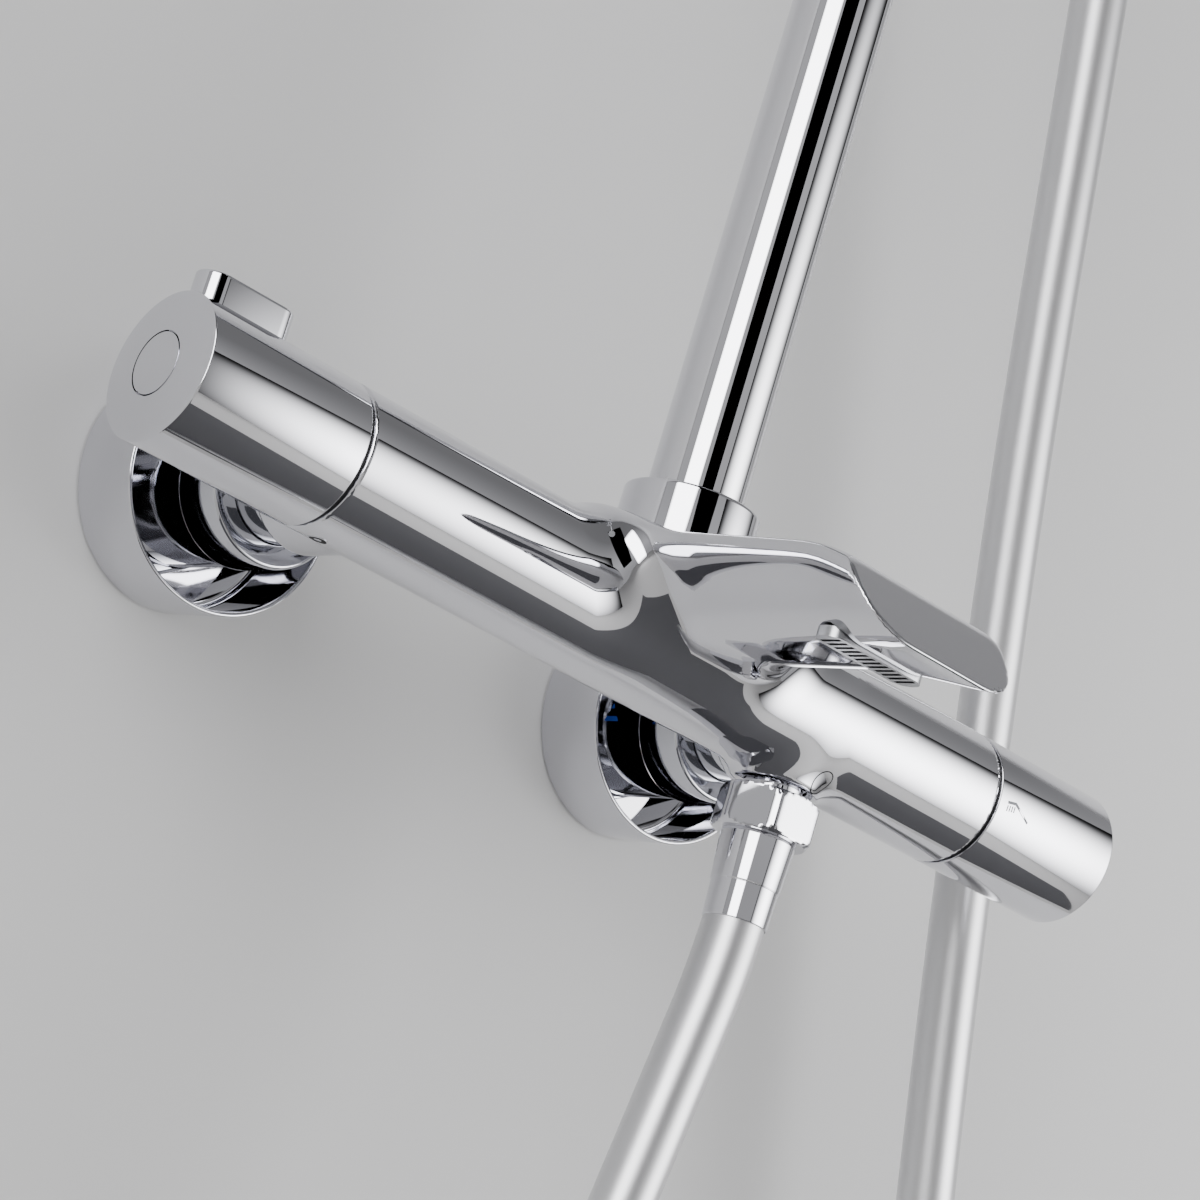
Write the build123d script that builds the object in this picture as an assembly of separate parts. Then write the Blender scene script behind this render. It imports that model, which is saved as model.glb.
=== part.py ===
from build123d import *
import math
import os

# Thermostatic bath and shower column, in millimetres.
# Origin: on the wall, midway between the two inlets. +X right, +Y into the wall, +Z up.

# ---- mixer bar -------------------------------------------------------------
INLET_SPACING = 150.0
BAR_Y = -89.0            # bar axis in front of the wall
BAR_Z = -5.3             # bar axis below the inlets
BAR_RADIUS = 17.1
BODY_HALF = 102.6        # half the length of the cast body
GAP = 1.0                # shadow gap between body and knobs
LEFT_RIM = 147.6         # knob rims, either side of the middle
RIGHT_RIM = 145.9
DOME_RISE = 1.6
KNOB_WALL = 2.5
CARTRIDGE_RADIUS = 13.3
TAB_LENGTH, TAB_HALF, TAB_X, TAB_TOP = 24.6, 5.0, -133.4, 17.8     # safety button
CARTRIDGE_START = 56.0
FIT = 0.05               # radial clearance of a running fit
CLEAR = 0.3              # clearance between pieces that are not a fit

# ---- waterfall spout -------------------------------------------------------
SPOUT_HALF = 23.5
SPOUT_THICK = 19.4
SPOUT_TOP_Z = 9.8        # top of the spout, measured at SPOUT_ROOT_Y
SPOUT_ROOT_Y = -112.0
SPOUT_FALL = 3.7         # degrees it falls towards the lip
EDGE_Y, EDGE_Z = -172.0, 2.2
LIP_Y, LIP_Z = -184.5, -13.7
GRILLE_Y = -159.5
GRILLE_LENGTH, GRILLE_WIDTH = 30.0, 8.0
GRILLE_SLOTS = 12

# ---- inlets ----------------------------------------------------------------
CUP_RADIUS, CUP_BACK_RADIUS, CUP_DEPTH, CUP_WALL = 28.85, 28.2, 21.0, 1.2
UNION_RADIUS, NUT_RADIUS, TAIL_RADIUS, BOSS_RADIUS = 17.4, 18.35, 12.75, 15.4
NUT_BACK, NUT_FRONT, BOSS_BACK = -24.2, -38.7, -49.0
WALL_THREAD_RADIUS, WALL_THREAD_LENGTH = 10.48, 20.0

# ---- hose outlet -----------------------------------------------------------
OUTLET_X = 48.0
NECK_RADIUS = 7.15
HOSE_NUT_FLATS = 22.0
HOSE_NUT_TOP, HOSE_NUT_BOTTOM = -26.0, -36.5
FERRULE_STEP, FERRULE_END = -48.5, -57.5
HOSE_RADIUS, HOSE_BORE = 7.4, 4.5

# ---- column ----------------------------------------------------------------
RISER_RADIUS, RISER_WALL = 11.4, 1.1
RISER_FOOT, RISER_TOP = 14.0, 905.0
COLLAR_RADIUS, COLLAR_TOP = 16.2, 27.1
BRACKET_Z = 850.0
ARM_RADIUS, ARM_WALL = 9.5, 1.2
ARM_LEVEL, ARM_REACH = 1060.0, 380.0
ARM_BENDS = (80.0, 35.0)
BALL_Z, BALL_RADIUS = 990.0, 11.0
RAIN_RADIUS = 110.0
RAIN_RINGS = (6, 12, 18, 24)

# ---- slider and handset ----------------------------------------------------
SLIDER_Z, SLIDER_HEIGHT, SLIDER_RADIUS = 622.0, 44.0, 19.5
HOLDER_X, HOLDER_Y, HOLDER_Z = 44.0, -105.0, 621.5
HOLDER_TILT = 12.0       # degrees the handset leans forward
CONE_TOP, CONE_BOTTOM = 20.0, -24.0      # hose cone, along the handset's own axis
CONE_TOP_RADIUS, CONE_BOTTOM_RADIUS = 12.3, 10.4
SLEEVE_LENGTH = 60.0
HEAD_RADIUS, HEAD_AT, HEAD_FACE_TILT = 52.0, 208.0, 16.0
FACE_RINGS = (8, 14, 20)

# Free hose: hand-placed route, outlet first, handset last.
HOSE_ROUTE = [
    (48.0, -89.0, -50.0), (48.0, -89.0, -66.0), (43.2, -89.0, -98.0), (35.6, -88.6, -150.0),
    (24.0, -87.0, -205.0), (11.0, -84.0, -266.0), (5.0, -80.0, -332.0), (43.0, -74.0, -385.0),
    (105.0, -66.0, -404.0), (167.0, -58.0, -385.0), (205.0, -51.0, -332.0), (209.0, -45.5, -258.0),
    (201.0, -42.5, -184.0), (186.0, -42.0, -112.0), (168.5, -42.5, -36.0), (151.0, -45.0, 40.0),
    (133.0, -49.5, 116.0), (114.0, -57.0, 196.0), (94.0, -64.5, 278.0), (66.0, -72.0, 378.0),
]
HOSE_LAST_RUN = 110.0


def cyl_x(radius, x0, x1, y=BAR_Y, z=BAR_Z):
    """Cylinder along X from x0 to x1."""
    return Pos((x0 + x1) / 2, y, z) * Rot(0, 90, 0) * Cylinder(radius, abs(x1 - x0))


def cyl_y(radius, y0, y1, x, z):
    """Cylinder along Y from y0 to y1."""
    return Pos(x, (y0 + y1) / 2, z) * Rot(90, 0, 0) * Cylinder(radius, abs(y1 - y0))


def cyl_z(radius, z0, z1, x=0.0, y=BAR_Y):
    """Cylinder along Z from z0 to z1."""
    return Pos(x, y, (z0 + z1) / 2) * Cylinder(radius, abs(z1 - z0))


def cone_z(radius0, radius1, z0, z1, x=0.0, y=BAR_Y):
    """Cone along Z, radius0 at z0 and radius1 at z1, with z0 below z1."""
    return Pos(x, y, (z0 + z1) / 2) * Cone(radius0, radius1, z1 - z0)


def box(low, high):
    """Box from its lowest to its highest corner."""
    middle = [(a + b) / 2 for a, b in zip(low, high)]
    return Pos(*middle) * Box(*[b - a for a, b in zip(low, high)])


def between(radius, start, end):
    """Cylinder whose axis runs from start to end."""
    axis = Vector(*end) - Vector(*start)
    place = Plane(origin=start, z_dir=axis)
    return place * Pos(0, 0, axis.length / 2) * Cylinder(radius, axis.length)


def spout_blank(extra=0.0):
    """Rounded tongue that falls gently forward, cut by the slanted front face."""
    fall = math.radians(SPOUT_FALL)
    middle_z = SPOUT_TOP_Z - SPOUT_THICK / 2
    section = Plane(origin=(0, SPOUT_ROOT_Y, middle_z), x_dir=(1, 0, 0),
                    z_dir=(0, -math.cos(fall), -math.sin(fall)))
    outline = RectangleRounded(2 * (SPOUT_HALF + extra), SPOUT_THICK + 2 * extra, 9.0)
    tongue = extrude(section * outline, amount=90) + extrude(section * outline, amount=-24)
    slope = Vector(0, LIP_Y - EDGE_Y, LIP_Z - EDGE_Z)
    face = Plane(origin=(0, EDGE_Y, EDGE_Z), x_dir=(1, 0, 0), z_dir=slope.cross(Vector(1, 0, 0)))
    beyond = face * Pos(0, 0, 50) * Box(200, 200, 100)
    return tongue - beyond


def inlet_boss(x):
    """Round boss that runs back from the bar to one inlet."""
    return cyl_y(BOSS_RADIUS, -79, BOSS_BACK, x, 0)


def body_outside():
    """The casting before it is bored: bar, spout, inlet bosses and riser spigot."""
    bar = cyl_x(BAR_RADIUS, -BODY_HALF, BODY_HALF)
    solid = bar + spout_blank()
    for x in (-INLET_SPACING / 2, INLET_SPACING / 2):
        solid += inlet_boss(x)
    return solid


def mixer_body():
    """The cast body with its cartridge bores, waterways and threads' plain bores."""
    solid = body_outside() + cyl_z(9.9, 0, 24)
    solid -= cyl_z(11, 16.7, 19.3) - cyl_z(8.6, 16.7, 19.3)
    for side in (-1, 1):
        ends = sorted((side * CARTRIDGE_START, side * (BODY_HALF + 1)))
        solid -= cyl_x(CARTRIDGE_RADIUS + CLEAR, *ends)
    solid -= cyl_x(5.0, -CARTRIDGE_START - 1, CARTRIDGE_START + 1)
    solid -= cyl_z(6.0, BAR_Z, 25)
    solid -= cyl_z(NECK_RADIUS + FIT, -30, -13, OUTLET_X)
    solid -= cyl_z(4.5, -14, BAR_Z, OUTLET_X)
    for x in (-INLET_SPACING / 2, INLET_SPACING / 2):
        solid -= cyl_y(8.3, -79, BOSS_BACK + 1, x, 0)
    solid -= box((-14, GRILLE_Y - 3, -5.5), (14, BAR_Y, 0.5))
    solid -= grille_pocket(0.1)
    solid -= plug_place(2.6 + FIT, 2.1)
    solid -= cyl_z(2.0 + FIT, -24, -17.6, -96)
    return solid


def grille_pocket(extra):
    """Stadium-shaped pocket in the underside of the spout."""
    outline = RectangleRounded(GRILLE_LENGTH + 2 * extra, GRILLE_WIDTH + 2 * extra, 3.9)
    return extrude(Plane.XY.offset(-13.5) * Pos(0, GRILLE_Y) * outline, amount=9.5)


def spout_grille():
    """Flat strainer in the spout's mouth, with a row of slots across it."""
    outline = RectangleRounded(GRILLE_LENGTH, GRILLE_WIDTH, 3.8)
    plate = extrude(Plane.XY.offset(-11.4) * Pos(0, GRILLE_Y) * outline, amount=2.4)
    pitch = (GRILLE_LENGTH - 6) / (GRILLE_SLOTS - 1)
    for i in range(GRILLE_SLOTS):
        x = (i - (GRILLE_SLOTS - 1) / 2) * pitch
        plate -= box((x - 0.6, GRILLE_Y - 2.9, -12), (x + 0.6, GRILLE_Y + 2.9, -8))
    return plate


def plug_place(radius, depth):
    """Small plug set square to the bar's surface, low at the front."""
    angle = math.radians(-118)
    out = (0, math.cos(angle), math.sin(angle))
    start = (54.8, BAR_Y + out[1] * (BAR_RADIUS - depth), BAR_Z + out[2] * (BAR_RADIUS - depth))
    end = (54.8, BAR_Y + out[1] * BAR_RADIUS, BAR_Z + out[2] * BAR_RADIUS)
    return between(radius, start, end)


def escutcheon(x):
    """Deep round cup that stands on the wall, open towards the room."""
    cup = Pos(x, -CUP_DEPTH / 2, 0) * Rot(90, 0, 0) * Cone(CUP_BACK_RADIUS, CUP_RADIUS, CUP_DEPTH)
    inside = Pos(x, -CUP_DEPTH / 2 - 1.5, 0) * Rot(90, 0, 0)
    cup -= inside * Cone(CUP_BACK_RADIUS - CUP_WALL, CUP_RADIUS - CUP_WALL, CUP_DEPTH)
    return cup - cyl_y(WALL_THREAD_RADIUS + CLEAR, -5, 5, x, 0)


def eccentric_union(x):
    """Wall union: male tail into the wall, round shoulder, male front thread."""
    solid = cyl_y(WALL_THREAD_RADIUS, 0, WALL_THREAD_LENGTH, x, 0) + cyl_y(10.2, -3, 0, x, 0)
    solid += cyl_y(UNION_RADIUS, NUT_BACK, -2.5, x, 0)
    solid += cyl_y(13.2, -33, NUT_BACK, x, 0)
    return solid - cyl_y(8.0, -34, WALL_THREAD_LENGTH + 1, x, 0)


def union_nut(x):
    """Round swivel nut that draws the body's tail onto the wall union."""
    solid = cyl_y(NUT_RADIUS, NUT_FRONT, NUT_BACK - 0.4, x, 0)
    solid -= cyl_y(13.2 + CLEAR, -36.4, NUT_BACK, x, 0)
    return solid - cyl_y(TAIL_RADIUS + FIT, NUT_FRONT - 1, -36, x, 0)


def union_tail(x):
    """Short tail between the nut and the body, with a collar inside the nut."""
    solid = cyl_y(TAIL_RADIUS, BOSS_BACK, -34.8, x, 0) + cyl_y(13.3, -36.3, -34.8, x, 0)
    return solid - cyl_y(8.0, BOSS_BACK - 1, -34, x, 0)


def union_washer(x):
    """Flat washer with a fine filter, between the union and the tail."""
    return cyl_y(12.6, -34.8, -33, x, 0) - cyl_y(7.0, -35, -32, x, 0)


def check_valve(x):
    """Push-in non-return valve cartridge in the body's inlet."""
    solid = cyl_y(8.25, -66, BOSS_BACK, x, 0)
    solid -= cyl_y(5.0, -55, BOSS_BACK + 1, x, 0)
    return solid - cyl_y(3.0, -67, -54, x, 0)


def cold_marker():
    """Small triangular blue mark that stands on the cold union's shoulder."""
    flat = Plane(origin=(INLET_SPACING / 2 - UNION_RADIUS - 0.05, -18.5, 3.2), x_dir=(0, 1, 0),
                 z_dir=(-1, 0, 0))
    return extrude(flat * Triangle(a=5.0, b=5.0, c=5.0), amount=0.35)


def thermostat_sleeve():
    """Fixed barrel of the thermostatic cartridge with the neck for its spindle."""
    solid = cyl_x(CARTRIDGE_RADIUS, -101, -CARTRIDGE_START - 0.5) + cyl_x(7.0, -112, -101)
    solid -= cyl_x(9.0, -97, -CARTRIDGE_START)
    return solid - cyl_x(4.2 + FIT, -113, -96)


def thermostat_spindle():
    """Spindle that the temperature knob turns."""
    return cyl_x(4.2, -138, -94) + cyl_x(6.0, -96.8, -93) - cyl_x(1.7, -139, -126)


def thermostat_element():
    """Wax element and shuttle that the spindle's thread moves along the bar."""
    return cyl_x(8.5, -88, -63) + cyl_x(3.0, -90, -88)


def diverter_sleeve():
    """Fixed barrel of the flow and diverter cartridge."""
    solid = cyl_x(CARTRIDGE_RADIUS, 59.6, 101) + cyl_x(7.0, 101, 112)
    solid -= cyl_x(10.0, 59, 97)
    return solid - cyl_x(4.2 + FIT, 96, 113)


def ceramic_disc(radius, x0, x1, port_radius, port_at):
    """Flat ceramic disc with two ports."""
    disc = cyl_x(radius, x0, x1)
    for side in (-1, 1):
        disc -= cyl_x(port_radius, x0 - 1, x1 + 1, BAR_Y, BAR_Z + side * port_at)
    return disc


def diverter_spindle():
    """Spindle with its driving plate, turned by the flow knob."""
    return cyl_x(9.0, 62.8, 66) + cyl_x(4.2, 66, 138)


def gap_ring(side):
    """Dark seal ring at the bottom of the gap between body and knob."""
    ends = sorted((side * (BODY_HALF + 0.02), side * (BODY_HALF + GAP - 0.1)))
    return cyl_x(16.3, *ends) - cyl_x(14.0, ends[0] - 1, ends[1] + 1)


def knob_shell(side, rim):
    """Hollow knob with a slightly domed end and a hub for its spindle."""
    near, far = side * (BODY_HALF + GAP), side * (rim + DOME_RISE)
    solid = cyl_x(BAR_RADIUS, *sorted((near, far)))
    dome = (BAR_RADIUS ** 2 + DOME_RISE ** 2) / (2 * DOME_RISE)
    solid &= Pos(far - side * dome, BAR_Y, BAR_Z) * Sphere(dome)
    solid -= cyl_x(BAR_RADIUS - KNOB_WALL, *sorted((side * 100, side * (rim - 2.4))))
    solid += cyl_x(6.5, *sorted((side * 128, side * (rim - 2.0))))
    return solid - cyl_x(4.2 + FIT, *sorted((side * 127, side * 138.1)))


def temperature_knob():
    """Left knob: screw hole and recess under its cap, and the slot for the stop button."""
    solid = knob_shell(-1, LEFT_RIM) - cyl_x(7.4, -151, -147.2) - cyl_x(3.6, -148, -145)
    solid -= cyl_x(2.0, -146, -137)
    return solid - stadium(TAB_LENGTH + 0.4, 2 * TAB_HALF + 0.4, 8.5, 20)


def stadium(length, width, z0, z1):
    """Upright block with round ends, on the bar's axis line, z0 and z1 above that axis."""
    outline = RectangleRounded(length, width, width / 2 - 0.05)
    return extrude(Plane.XY.offset(BAR_Z + z0) * Pos(TAB_X, BAR_Y) * outline, amount=z1 - z0)


def stop_button():
    """Raised safety button with a foot that keeps it in the knob."""
    return stadium(TAB_LENGTH, 2 * TAB_HALF, 10.5, TAB_TOP - BAR_Z) + stadium(23.0, 12.0, 9.5, 11.3)


def stop_button_spring():
    """Small coil spring between the knob's hub and the button's foot."""
    coil = Helix(pitch=0.95, height=2.0, radius=1.7)
    wire = sweep(Plane(origin=coil @ 0, z_dir=coil % 0) * Circle(0.22), path=coil)
    return Pos(TAB_X, BAR_Y, BAR_Z + 6.95) * wire


def temperature_knob_screw():
    """Screw that draws the temperature knob onto its spindle."""
    return cyl_x(3.4, -147.1, -145.1) + cyl_x(1.65, -146, -127) - cyl_x(1.2, -148, -146)


def flow_knob():
    """Right knob, with the hole for its grub screw on top."""
    return knob_shell(1, RIGHT_RIM) - cyl_z(2.0 + FIT, BAR_Z + 4, BAR_Z + 18, 134)


def flow_knob_screw():
    """Grub screw that holds the flow knob on its spindle."""
    return cyl_z(2.0, BAR_Z + 4.3, BAR_Z + 16.2, 134) - cyl_z(1.0, BAR_Z + 13, BAR_Z + 17, 134)


def knob_cap():
    """Round cap over the temperature knob's screw, with its prising notch."""
    cap = cyl_x(7.25, -149.25, -147.25)
    dome = (BAR_RADIUS ** 2 + DOME_RISE ** 2) / (2 * DOME_RISE)
    cap &= Pos(-LEFT_RIM - DOME_RISE + dome, BAR_Y, BAR_Z) * Sphere(dome)
    return cap - cyl_x(0.8, -151, -147, BAR_Y + 3.2, BAR_Z - 6.7)


def outlet_nipple():
    """Threaded nipple under the body that the hose nut screws onto."""
    solid = cyl_z(NECK_RADIUS, HOSE_NUT_TOP - 0.5, -13, OUTLET_X)
    solid += cyl_z(8.3, -33, HOSE_NUT_TOP - 0.5, OUTLET_X)
    return solid - cyl_z(4.5, -34, -12, OUTLET_X)


def hose_nut():
    """Hexagon nut with turned corners, free to turn on the ferrule's collar."""
    hexagon = RegularPolygon(HOSE_NUT_FLATS / 2, 6, major_radius=False)
    nut = extrude(Plane.XY.offset(HOSE_NUT_BOTTOM) * Pos(OUTLET_X, BAR_Y) * hexagon, amount=10.5)
    turned = cone_z(11.2, 13.4, HOSE_NUT_BOTTOM, HOSE_NUT_BOTTOM + 1.3, OUTLET_X)
    turned += cyl_z(13.4, HOSE_NUT_BOTTOM + 1.3, HOSE_NUT_TOP - 1.3, OUTLET_X)
    turned += cone_z(13.4, 11.2, HOSE_NUT_TOP - 1.3, HOSE_NUT_TOP, OUTLET_X)
    nut &= turned
    nut -= cyl_z(8.35, -35.2, HOSE_NUT_TOP + 1, OUTLET_X)
    return nut - cyl_z(6.6, -37, -35, OUTLET_X)


def hose_washer():
    """Flat rubber washer inside the hose nut."""
    return cyl_z(8.1, -33.9, -33, OUTLET_X) - cyl_z(4.5, -35, -32, OUTLET_X)


def hose_ferrule():
    """Two-step crimped ferrule; its collar sits inside the nut."""
    solid = cyl_z(8.1, -35.15, -33.95, OUTLET_X) + cyl_z(6.5, -37, -35, OUTLET_X)
    solid += cone_z(8.25, 8.9, FERRULE_STEP, HOSE_NUT_BOTTOM - 0.1, OUTLET_X)
    solid += cone_z(7.7, 8.05, FERRULE_END, FERRULE_STEP, OUTLET_X)
    solid -= cyl_z(HOSE_RADIUS + FIT, FERRULE_END - 1, -50, OUTLET_X)
    return solid - cyl_z(4.0, -51, -33, OUTLET_X)


def handset_place():
    """Plane whose Z runs up the handset and whose origin is the middle of its holder."""
    tilt = math.radians(HOLDER_TILT)
    return Plane(origin=(HOLDER_X, HOLDER_Y, HOLDER_Z), x_dir=(1, 0, 0),
                 z_dir=(0, -math.sin(tilt), math.cos(tilt)))


def hose_points():
    """The route's points, with its straight last run along the handset's axis."""
    axis = handset_place().z_dir
    inlet = Vector(HOLDER_X, HOLDER_Y, HOLDER_Z) + axis * CONE_BOTTOM
    return [Vector(*p) for p in HOSE_ROUTE] + [inlet - axis * HOSE_LAST_RUN, inlet]


def hose_radii(points):
    """Radius of each corner: 0.45 of the shorter run over the tangent of half the turn."""
    radii = []
    for a, b, c in zip(points, points[1:], points[2:]):
        turn = math.radians((b - a).get_angle(c - b))
        radii.append(0.45 * min((b - a).length, (c - b).length) / math.tan(turn / 2))
    return radii


def hose_tube():
    """Smooth flexible hose along its route."""
    points = hose_points()
    radii = hose_radii(points)
    path = FilletPolyline(*points, radius=radii)
    section = Plane(origin=path @ 0, z_dir=path % 0) * (Circle(HOSE_RADIUS) - Circle(HOSE_BORE))
    tube = sweep(section, path=path)
    area = math.pi * (HOSE_RADIUS ** 2 - HOSE_BORE ** 2)
    print("hose length", round(path.length, 1), "volume", round(tube.volume),
          "section x length", round(area * path.length))
    print("hose radii", [round(r) for r in radii])
    return tube


def riser_collar():
    """Round collar round the riser's foot, cut to sit on the casting."""
    return cyl_z(COLLAR_RADIUS, 4, COLLAR_TOP) - cyl_z(RISER_RADIUS + 0.1, 3, 28) - collar_seat()


def collar_seat():
    """Everything of the casting that the collar must clear."""
    return cyl_x(BAR_RADIUS + 0.05, -40, 40) + spout_blank(0.05)


def riser_tube():
    """Straight riser from the mixer to the arm."""
    return cyl_z(RISER_RADIUS, RISER_FOOT, RISER_TOP) - cyl_z(RISER_RADIUS - RISER_WALL, 13, 906)


def riser_seal():
    """O-ring in the spigot's groove."""
    return Pos(0, BAR_Y, 18) * Torus(9.4, 0.8)


def bracket_clamp():
    """Ring round the riser with the stem that goes back to the wall."""
    solid = cyl_z(17, BRACKET_Z - 13, BRACKET_Z + 13) + cyl_y(9, BAR_Y, -8, 0, BRACKET_Z)
    return solid - cyl_z(RISER_RADIUS + 0.1, BRACKET_Z - 14, BRACKET_Z + 14)


def bracket_base():
    """Plate screwed to the wall, with a socket for the stem."""
    solid = cyl_y(22, -5, 0, 0, BRACKET_Z) + cyl_y(12, -16, -5, 0, BRACKET_Z)
    solid -= cyl_y(9 + 0.1, -17, -7.9, 0, BRACKET_Z)
    for side in (-1, 1):
        solid -= cyl_y(2.6, -6, 1, 0, BRACKET_Z + side * 16.5)
    return solid


def bracket_screws():
    """Two countersunk wall screws."""
    screws = []
    for side in (-1, 1):
        z = BRACKET_Z + side * 16.5
        shank = cyl_y(2.4, 0, 30, 0, z) + cyl_y(2.2, -6, 0, 0, z)
        screws.append(shank + cyl_y(4.2, -7.6, -5.05, 0, z))
    return Compound(children=screws)


def bracket_cover():
    """Round cover over the base plate."""
    solid = cyl_y(27.5, -18, -0.02, 0, BRACKET_Z) - cyl_y(26, -16.5, 1, 0, BRACKET_Z)
    return solid - cyl_y(9.3, -19, -15, 0, BRACKET_Z)


def arm_collar():
    """Collar on the riser's top that the arm turns in."""
    solid = cyl_z(14, 893, 925) - cyl_z(RISER_RADIUS + 0.1, 892, RISER_TOP + 0.1)
    return solid - cyl_z(ARM_RADIUS + FIT, 900, 926)


def arm_bush():
    """Plastic bush between the riser's bore and the arm's tail."""
    return cyl_z(RISER_RADIUS - RISER_WALL - 0.05, 862, 904) - cyl_z(ARM_RADIUS + FIT, 861, 905)


def arm_stop_ring():
    """Ring fixed to the arm, which rests on the collar."""
    return cyl_z(12.5, 925.1, 929) - cyl_z(ARM_RADIUS + FIT, 925, 930)


def arm_path():
    """Up out of the riser, forward over the user and down to the head."""
    front = BAR_Y - ARM_REACH
    points = [(0, BAR_Y, 860), (0, BAR_Y, ARM_LEVEL), (0, front, ARM_LEVEL), (0, front, 1008)]
    return FilletPolyline(*points, radius=list(ARM_BENDS))


def shower_arm():
    """Bent tube of the arm."""
    path = arm_path()
    ring = Circle(ARM_RADIUS) - Circle(ARM_RADIUS - ARM_WALL)
    return sweep(Plane(origin=path @ 0, z_dir=path % 0) * ring, path=path)


def arm_ball():
    """Ball on its threaded nipple, fixed in the end of the arm."""
    y = BAR_Y - ARM_REACH
    solid = Pos(0, y, BALL_Z) * Sphere(BALL_RADIUS) + cyl_z(7.0, BALL_Z, 1003.5, 0, y)
    solid += cyl_z(10.5, 1003.5, 1008, 0, y) + cyl_z(8.2, 1008, 1020, 0, y)
    return solid - cyl_z(4.0, 970, 1021, 0, y)


def ball_shell(outer, inner, low, high):
    """Part of a hollow sphere round the ball's centre, between two heights."""
    y = BAR_Y - ARM_REACH
    shell = Pos(0, y, BALL_Z) * (Sphere(outer) - Sphere(inner))
    return shell & box((-30, y - 30, BALL_Z + low), (30, y + 30, BALL_Z + high))


def head_socket():
    """Lower half of the ball joint, on top of the rain head."""
    y = BAR_Y - ARM_REACH
    solid = cyl_z(17, 970.5, BALL_Z, 0, y) - Pos(0, y, BALL_Z) * Sphere(13.8)
    return solid - cyl_z(5, 960, 980, 0, y)


def socket_nut():
    """Upper half of the ball joint, screwed onto the socket."""
    y = BAR_Y - ARM_REACH
    solid = cyl_z(17, BALL_Z + 0.05, BALL_Z + 6.2, 0, y) + cone_z(17, 13.5, BALL_Z + 6.2, BALL_Z + 8, 0, y)
    solid -= Pos(0, y, BALL_Z) * Sphere(BALL_RADIUS + CLEAR)
    return solid - cyl_z(10.2, BALL_Z + 6, BALL_Z + 9, 0, y)


def rain_shell():
    """Thin round housing of the rain head, hollow above its face plate."""
    y = BAR_Y - ARM_REACH
    solid = cone_z(RAIN_RADIUS, RAIN_RADIUS - 4, 962, 965.5, 0, y) + cyl_z(RAIN_RADIUS, 956, 962, 0, y)
    solid += cone_z(RAIN_RADIUS - 4, 26, 965.5, 970.5, 0, y)
    solid -= cyl_z(RAIN_RADIUS - 3, 955, 962, 0, y)
    return solid - cyl_z(5, 961, 971, 0, y)


def ring_places(rings, first, step):
    """Points on rings round a centre point, with the centre itself."""
    places = [(0.0, 0.0)]
    for row, count in enumerate(rings):
        radius = first + row * step
        for i in range(count):
            turn = 2 * math.pi * i / count
            places.append((radius * math.cos(turn), radius * math.sin(turn)))
    return places


def rain_face():
    """Perforated face plate of the rain head."""
    y = BAR_Y - ARM_REACH
    plate = cyl_z(RAIN_RADIUS - 3.2, 956.2, 958.2, 0, y)
    holes = [cyl_z(2.3, 955, 959, a, y + b) for a, b in ring_places(RAIN_RINGS, 24, 23)]
    return plate - holes


def rain_nozzles():
    """Silicone mat behind the face plate with a nozzle through each hole."""
    y = BAR_Y - ARM_REACH
    mat = cyl_z(RAIN_RADIUS - 6, 958.3, 959.5, 0, y)
    places = ring_places(RAIN_RINGS, 24, 23)
    return mat + [cone_z(1.3, 2.0, 953.8, 958.3, a, y + b) for a, b in places]


def slider_body():
    """Clamp ring on the riser with bosses for the knob and for the holder."""
    low, high = SLIDER_Z - SLIDER_HEIGHT / 2, SLIDER_Z + SLIDER_HEIGHT / 2
    solid = cyl_z(SLIDER_RADIUS, low, high) + cyl_x(10, -27, 0, BAR_Y, SLIDER_Z)
    solid += between(9, (4, -91, SLIDER_Z), (25, -98.6, SLIDER_Z))
    solid -= cyl_z(13.2, low - 1, high + 1)
    return solid - cyl_x(3.5 + FIT, -28, -12, BAR_Y, SLIDER_Z)


def slider_liner():
    """Plastic liner that runs on the riser."""
    low, high = SLIDER_Z - SLIDER_HEIGHT / 2 + 1, SLIDER_Z + SLIDER_HEIGHT / 2 - 1
    return cyl_z(13.1, low, high) - cyl_z(RISER_RADIUS + FIT, low - 1, high + 1)


def slider_knob():
    """Clamp knob with its threaded stud."""
    solid = cyl_x(14, -45, -27.3, BAR_Y, SLIDER_Z) + cyl_x(3.5, -28, -13.6, BAR_Y, SLIDER_Z)
    for i in range(8):
        turn = math.radians(45 * i)
        y, z = BAR_Y + 15.6 * math.cos(turn), SLIDER_Z + 15.6 * math.sin(turn)
        solid -= cyl_x(3.2, -46, -27, y, z)
    return solid


def handset_holder():
    """Tapered cup for the hose cone, slotted so that the hose can leave it."""
    place = handset_place()
    taper = (CONE_TOP_RADIUS - CONE_BOTTOM_RADIUS) / (CONE_TOP - CONE_BOTTOM)
    middle = CONE_BOTTOM_RADIUS + taper * -CONE_BOTTOM
    cup = place * Cone(15.6, 16.8, 32)
    link = between(8.9, (25.3, -98.7, SLIDER_Z), (38, -103.3, SLIDER_Z))
    solid = cup + link - cyl_z(SLIDER_RADIUS + 0.05, 590, 660)
    solid -= place * Cone(middle - taper * 20 + CLEAR, middle + taper * 20 + CLEAR, 40)
    return solid - place * Pos(0, -15, 0) * Box(18.4, 30, 40)


def cone_nut():
    """Conical hose nut that rests in the holder and screws onto the handset."""
    length = CONE_TOP - CONE_BOTTOM
    solid = Pos(0, 0, (CONE_TOP + CONE_BOTTOM) / 2) * Cone(CONE_BOTTOM_RADIUS, CONE_TOP_RADIUS, length)
    solid -= Pos(0, 0, 12.1) * Cylinder(9.0, 16)
    return handset_place() * (solid - Pos(0, 0, -10) * Cylinder(4.5, 30))


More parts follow.
